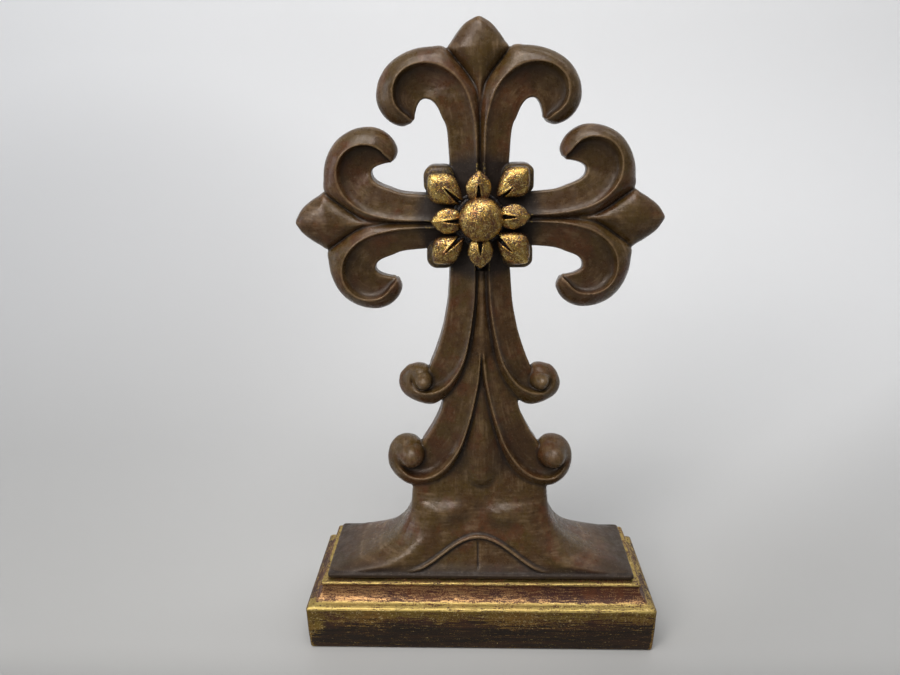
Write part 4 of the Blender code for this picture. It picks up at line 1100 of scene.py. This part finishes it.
def add_petal(body, outline, axis, slit, levels, turn, fold):
    """A domed petal with a wedge-shaped slit that opens towards the boss. axis is its outward
    direction, slit is (where it starts, where it ends, half width, depth) along the axis, levels are
    the back, the edge and the crown, and fold how roof-like it is."""
    curve = even_outline(outline, 112)
    middle = curve.mean(0)
    ahead = np.array(axis, float) / np.linalg.norm(axis)
    start, end, half, depth = slit
    back, edge, crown = levels
    rings = [[turn(x, -back, z) for x, z in curve]]
    for share in np.concatenate([np.linspace(1.0, 0.9, 7), np.linspace(0.87, 0.03, 38)]):
        spots = middle + (curve - middle) * share
        out, off = spots @ ahead, np.abs(spots @ (-ahead[1], ahead[0]))
        dome = (1 - share**2.8) ** 0.6
        height = edge + (crown - edge) * dome * (1 - fold * off / 6.0)
        opening = half * np.clip((end - out) / (end - start), 0, 1.4) ** 0.8
        inside = ease(1.0, 0.62, off / np.maximum(opening, 0.02)) * (out < end)
        lip = np.exp(-(((off - opening - 0.4) / 0.4) ** 2)) * (out < end - 0.3)
        height = height + 0.35 * lip * dome - np.minimum(depth, height - edge + 1.2) * inside
        rings.append([turn(x, -y, z) for (x, z), y in zip(spots, height)])
    body.loft(rings)


def make_gilded(body, node, wave, seed, low, high):
    """Turns a body into a gilded piece, darkened at the back of low and clean in front of high."""
    data = remeshed(body, node + "_leafed", GILT_VOXEL)
    weather(data, wave=wave, rounds=1, seed=seed, detail=0.10, breadth=0.6)
    set_attribute(data, "deep", ease(high, low, -points_of(data)[:, 1]))
    piece_from(data, node + "_leafed", node, "gold_leaf")


def make_petals(node, radius, sunk, petals, axis, slit, fold, seed):
    """A ring of petals, each an outline and a turn, on a hub that is sunk below their edges."""
    low, high = node_box(node)
    back, crown = -high[1], -low[1]
    edge = back + EDGE_SHARE * (crown - back)
    front = edge - sunk
    hub = ((radius - 0.5, back), (radius, back + 0.5), (radius, front - 0.5), (radius - 0.6, front))
    body = Body().loft([circle(r, -reach, 96) for r, reach in hub])
    for outline, turn in petals:
        add_petal(body, outline, axis, slit, (back, edge, crown), turn, fold)
    make_gilded(body, node, 0.14, seed, edge - 0.2, edge + 1.4)


def make_rosette():
    corners = []
    for sx, sz, near_x, far_x, near_z, far_z in CORNER_BOXES:
        outline = [(near_x + (far_x - near_x) * u, near_z + (far_z - near_z) * v) for u, v in CORNER_PETAL]
        corners.append((outline, mirrored(sx, sz)))
    make_petals("corner_petals", 12.5, 0.8, corners, (1, 0.95), CORNER_SLIT, 0.0, 2.0)
    sides = [(SIDE_PETAL, quarter_turn(i, *shift)) for i, shift in enumerate(SIDE_SHIFTS)]
    make_petals("side_petals", 11.0, 0.6, sides, (0, 1), SIDE_SLIT, 0.28, 6.0)


def make_boss():
    """A flattened dome with a tucked-in rim and the small dents of hand gilding."""
    low, high = node_box("rosette_boss")
    radius, back, front = (high[0] - low[0]) / 2, -high[1], -low[1]
    profile = [(0.90, 0.0), (0.97, 0.06), (1.0, 0.14), (1.0, 0.18)]
    for share in np.linspace(0.995, 0.02, 60):
        profile.append((share, 0.18 + 0.82 * (1 - share**2.3) ** 0.56))
    depth = front - back
    rings = [circle(share * radius, -back - depth * rise, 144, BOSS_SHIFT) for share, rise in profile]
    make_gilded(Body().loft(rings), "rosette_boss", 0.16, 11.0, back + 0.5, back + 2.4)


def make_back_screw():
    """A slotted dome-headed screw and its washer behind the crossing."""
    low, high = node_box("rosette_screw")
    washer_low, washer_high = node_box("screw_washer")
    head, outer = (high[0] - low[0]) / 2, (washer_high[0] - washer_low[0]) / 2
    y0, y1 = washer_low[1], washer_high[1]
    seat = y1 + 0.3
    rim = seat + 0.25
    profile = [(SHANK - 0.4, low[1]), (SHANK, low[1] + 0.4), (SHANK, seat), (head - 0.2, seat), (head, rim)]
    profile += [(head * cos(a), rim + (high[1] - rim) * sin(a)) for a in np.radians(np.arange(8, 90, 6))]
    screw = to_scene("back_screw", Body().loft([circle(r, y, 72) for r, y in profile]).mesh("back_screw"))
    along = np.array((-sin(SLOT_TILT), cos(SLOT_TILT))) * (head + 1)
    aside = np.array((cos(SLOT_TILT), sin(SLOT_TILT))) * SLOT_HALF
    corners = [s * aside + t * along for s, t in ((-1, -1), (1, -1), (1, 1), (-1, 1))]
    rings = [[(x, y, ROSETTE_Z + z) for x, z in corners] for y in (high[1] - SLOT_DEPTH, high[1] + 1.0)]
    cutter = to_scene("slot", Body().loft(rings).mesh("slot"))
    step = screw.modifiers.new("slot", "BOOLEAN")
    step.operation = "DIFFERENCE"
    step.object = cutter
    step.solver = "EXACT"
    slotted = applied(screw)
    bpy.data.objects.remove(cutter)
    inner = SHANK + 0.3
    section = [(inner, y0 + 0.1), (inner + 0.1, y0), (outer - 0.25, y0), (outer, y0 + 0.25)]
    section += [(outer, y1 - 0.25), (outer - 0.25, y1), (inner + 0.1, y1), (inner, y1 - 0.1)]
    washer = Body().loft([circle(r, y, 72) for r, y in section], hoop=True).mesh("back_washer")
    piece_from(slotted, "back_screw_slotted", "rosette_screw", "steel")
    piece_from(washer, "back_washer_turned", "screw_washer", "steel")
    for data in (slotted, washer):
        data.set_sharp_from_angle(angle=SHARP_TURN)


for direction in ARM_SWAY:
    make_arm(direction)
make_stem()
make_foot()
make_plinth()
make_crossing_block()
make_rosette()
make_boss()
make_back_screw()

# Nodes that keep their CAD shape
PLAIN_NODES = ("felt_pad", "tie_rod", "tie_nut", "tie_washer")
PLAIN_NODES += ("dowel_top", "dowel_left", "dowel_right", "dowel_stem")
for name in PLAIN_NODES:
    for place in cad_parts[name].material_slots:
        place.material = MATERIALS["felt" if name == "felt_pad" else "steel"]


# ---------------------------------------------------------------- stage


def make_stage():
    """A pale floor that curves up into a backdrop, with painted shade, painted shadows, painted light and a
    painted glow on it.
    """
    half_width, front, back, rise, bend = STAGE
    profile = [(front, 0.0)]
    profile += [(back - bend * (1 - sin(a)), bend * (1 - cos(a))) for a in np.linspace(0, pi / 2, 13)]
    profile += [(back, rise)]
    points = [(x, y, z) for y, z in profile for x in (-half_width, half_width)]
    faces = [(2 * i, 2 * i + 1, 2 * i + 3, 2 * i + 2) for i in range(len(profile) - 1)]
    data = bpy.data.meshes.new("sweep")
    data.from_pydata(points, [], faces)
    data.polygons.foreach_set("use_smooth", [True] * len(data.polygons))

    n = Nodes("sweep_paper")
    across, deep, high = n.split()
    # Painted shade: the paper is darker towards the front and the left of the floor and pale up the backdrop
    away = deep + high * 0.9 + across * 0.25
    # Painted shade and light: darker in front of the base, a painted shadow to its right, a painted shadow on
    # the backdrop at the left and painted light towards the upper right
    left, up = (across + 430.0) * (1 / 300.0), (high - 90.0) * (1 / 190.0)
    tone = n.span(deep, -95.0, -30.0, 0.55, 1.0) * n.span(across - deep, 20.0, 180.0, 1.0, 0.84)
    tone = tone * n.span(left * left + up * up, 0.0, 1.7, 0.86, 1.0)
    tone = tone * n.span(across + high, 150.0, 650.0, 0.98, 1.10)
    colour = n.mix(n.span(away, -300.0, 950.0), (0.400, 0.397, 0.382), (0.895, 0.905, 0.912))
    colour = n.mix(tone, (0.0, 0.0, 0.0), colour)
    # Painted glow: the paper glows at its far sides and far front to stand in for light there
    painted_glow = n.span(n.math("ABSOLUTE", across), 800.0, 1700.0, 0.0, 0.42)
    painted_glow = n.most(painted_glow, n.span(deep, -800.0, -1700.0, 0.0, 0.16))
    painted_glow_look = dict(Emission_Color=(0.93, 0.94, 0.95), Emission_Strength=painted_glow)
    data.materials.append(n.finish(Base_Color=colour, Roughness=0.75, **painted_glow_look))
    to_scene("sweep", data)


def add_light(name, place, target, size, power, colour):
    data = bpy.data.lights.new(name, "AREA")
    data.shape = "RECTANGLE"
    data.size, data.size_y = size
    data.energy = power
    data.color = colour
    item = to_scene(name, data)
    item.location = place
    item.rotation_euler = (Vector(target) - Vector(place)).to_track_quat("-Z", "Y").to_euler()


def make_camera():
    """The camera at the viewing place that fits the object's outline best."""
    data = bpy.data.cameras.new("camera")
    data.lens = CAMERA_LENS
    data.sensor_width = 36.0
    data.clip_start = 0.01
    item = to_scene("camera", data)
    heading = Matrix.Rotation(-CAMERA_YAW, 4, "Z") @ Matrix.Rotation(pi / 2 - CAMERA_PITCH, 4, "X")
    place = Matrix.Translation(Vector(CAMERA_PLACE) * MM)
    item.matrix_world = place @ heading @ Matrix.Rotation(CAMERA_ROLL, 4, "Z")
    bpy.context.scene.camera = item


def make_world():
    """A room that is brighter above than below."""
    n = Nodes("studio", bpy.data.worlds, "Generated")
    height = n.node("SeparateXYZ", 2, {0: n.position})
    seen = n.node("LightPath", "Is Camera Ray")
    inputs = {"Factor": seen, "A": n.span(height, -0.2, 0.9, 0.08, 0.50), "B": 0.62}
    strength = n.node("Mix", 0, inputs)
    bpy.context.scene.world = n.finish("Background", Color=(0.95, 0.96, 1.0), Strength=strength)


make_stage()
add_light("overhead", (-0.10, -0.40, 0.95), (0.0, 0.0, 0.15), (0.7, 0.45), 5.6, (1.0, 0.98, 0.96))
add_light("window", (-0.60, -0.80, 0.70), (0.0, 0.0, 0.18), (0.35, 0.35), 3.8, (1.0, 0.95, 0.92))
add_light("side_window", (-0.9, -0.2, 0.35), (0.0, 0.0, 0.18), (0.3, 0.5), 1.2, (0.75, 0.85, 1.0))
add_light("wall_wash", (0.5, 0.1, 1.15), (0.5, 0.55, 0.35), (1.0, 0.2), 1.7, (1.0, 0.99, 0.98))
make_camera()
make_world()
bpy.context.scene.view_settings.view_transform = "Standard"
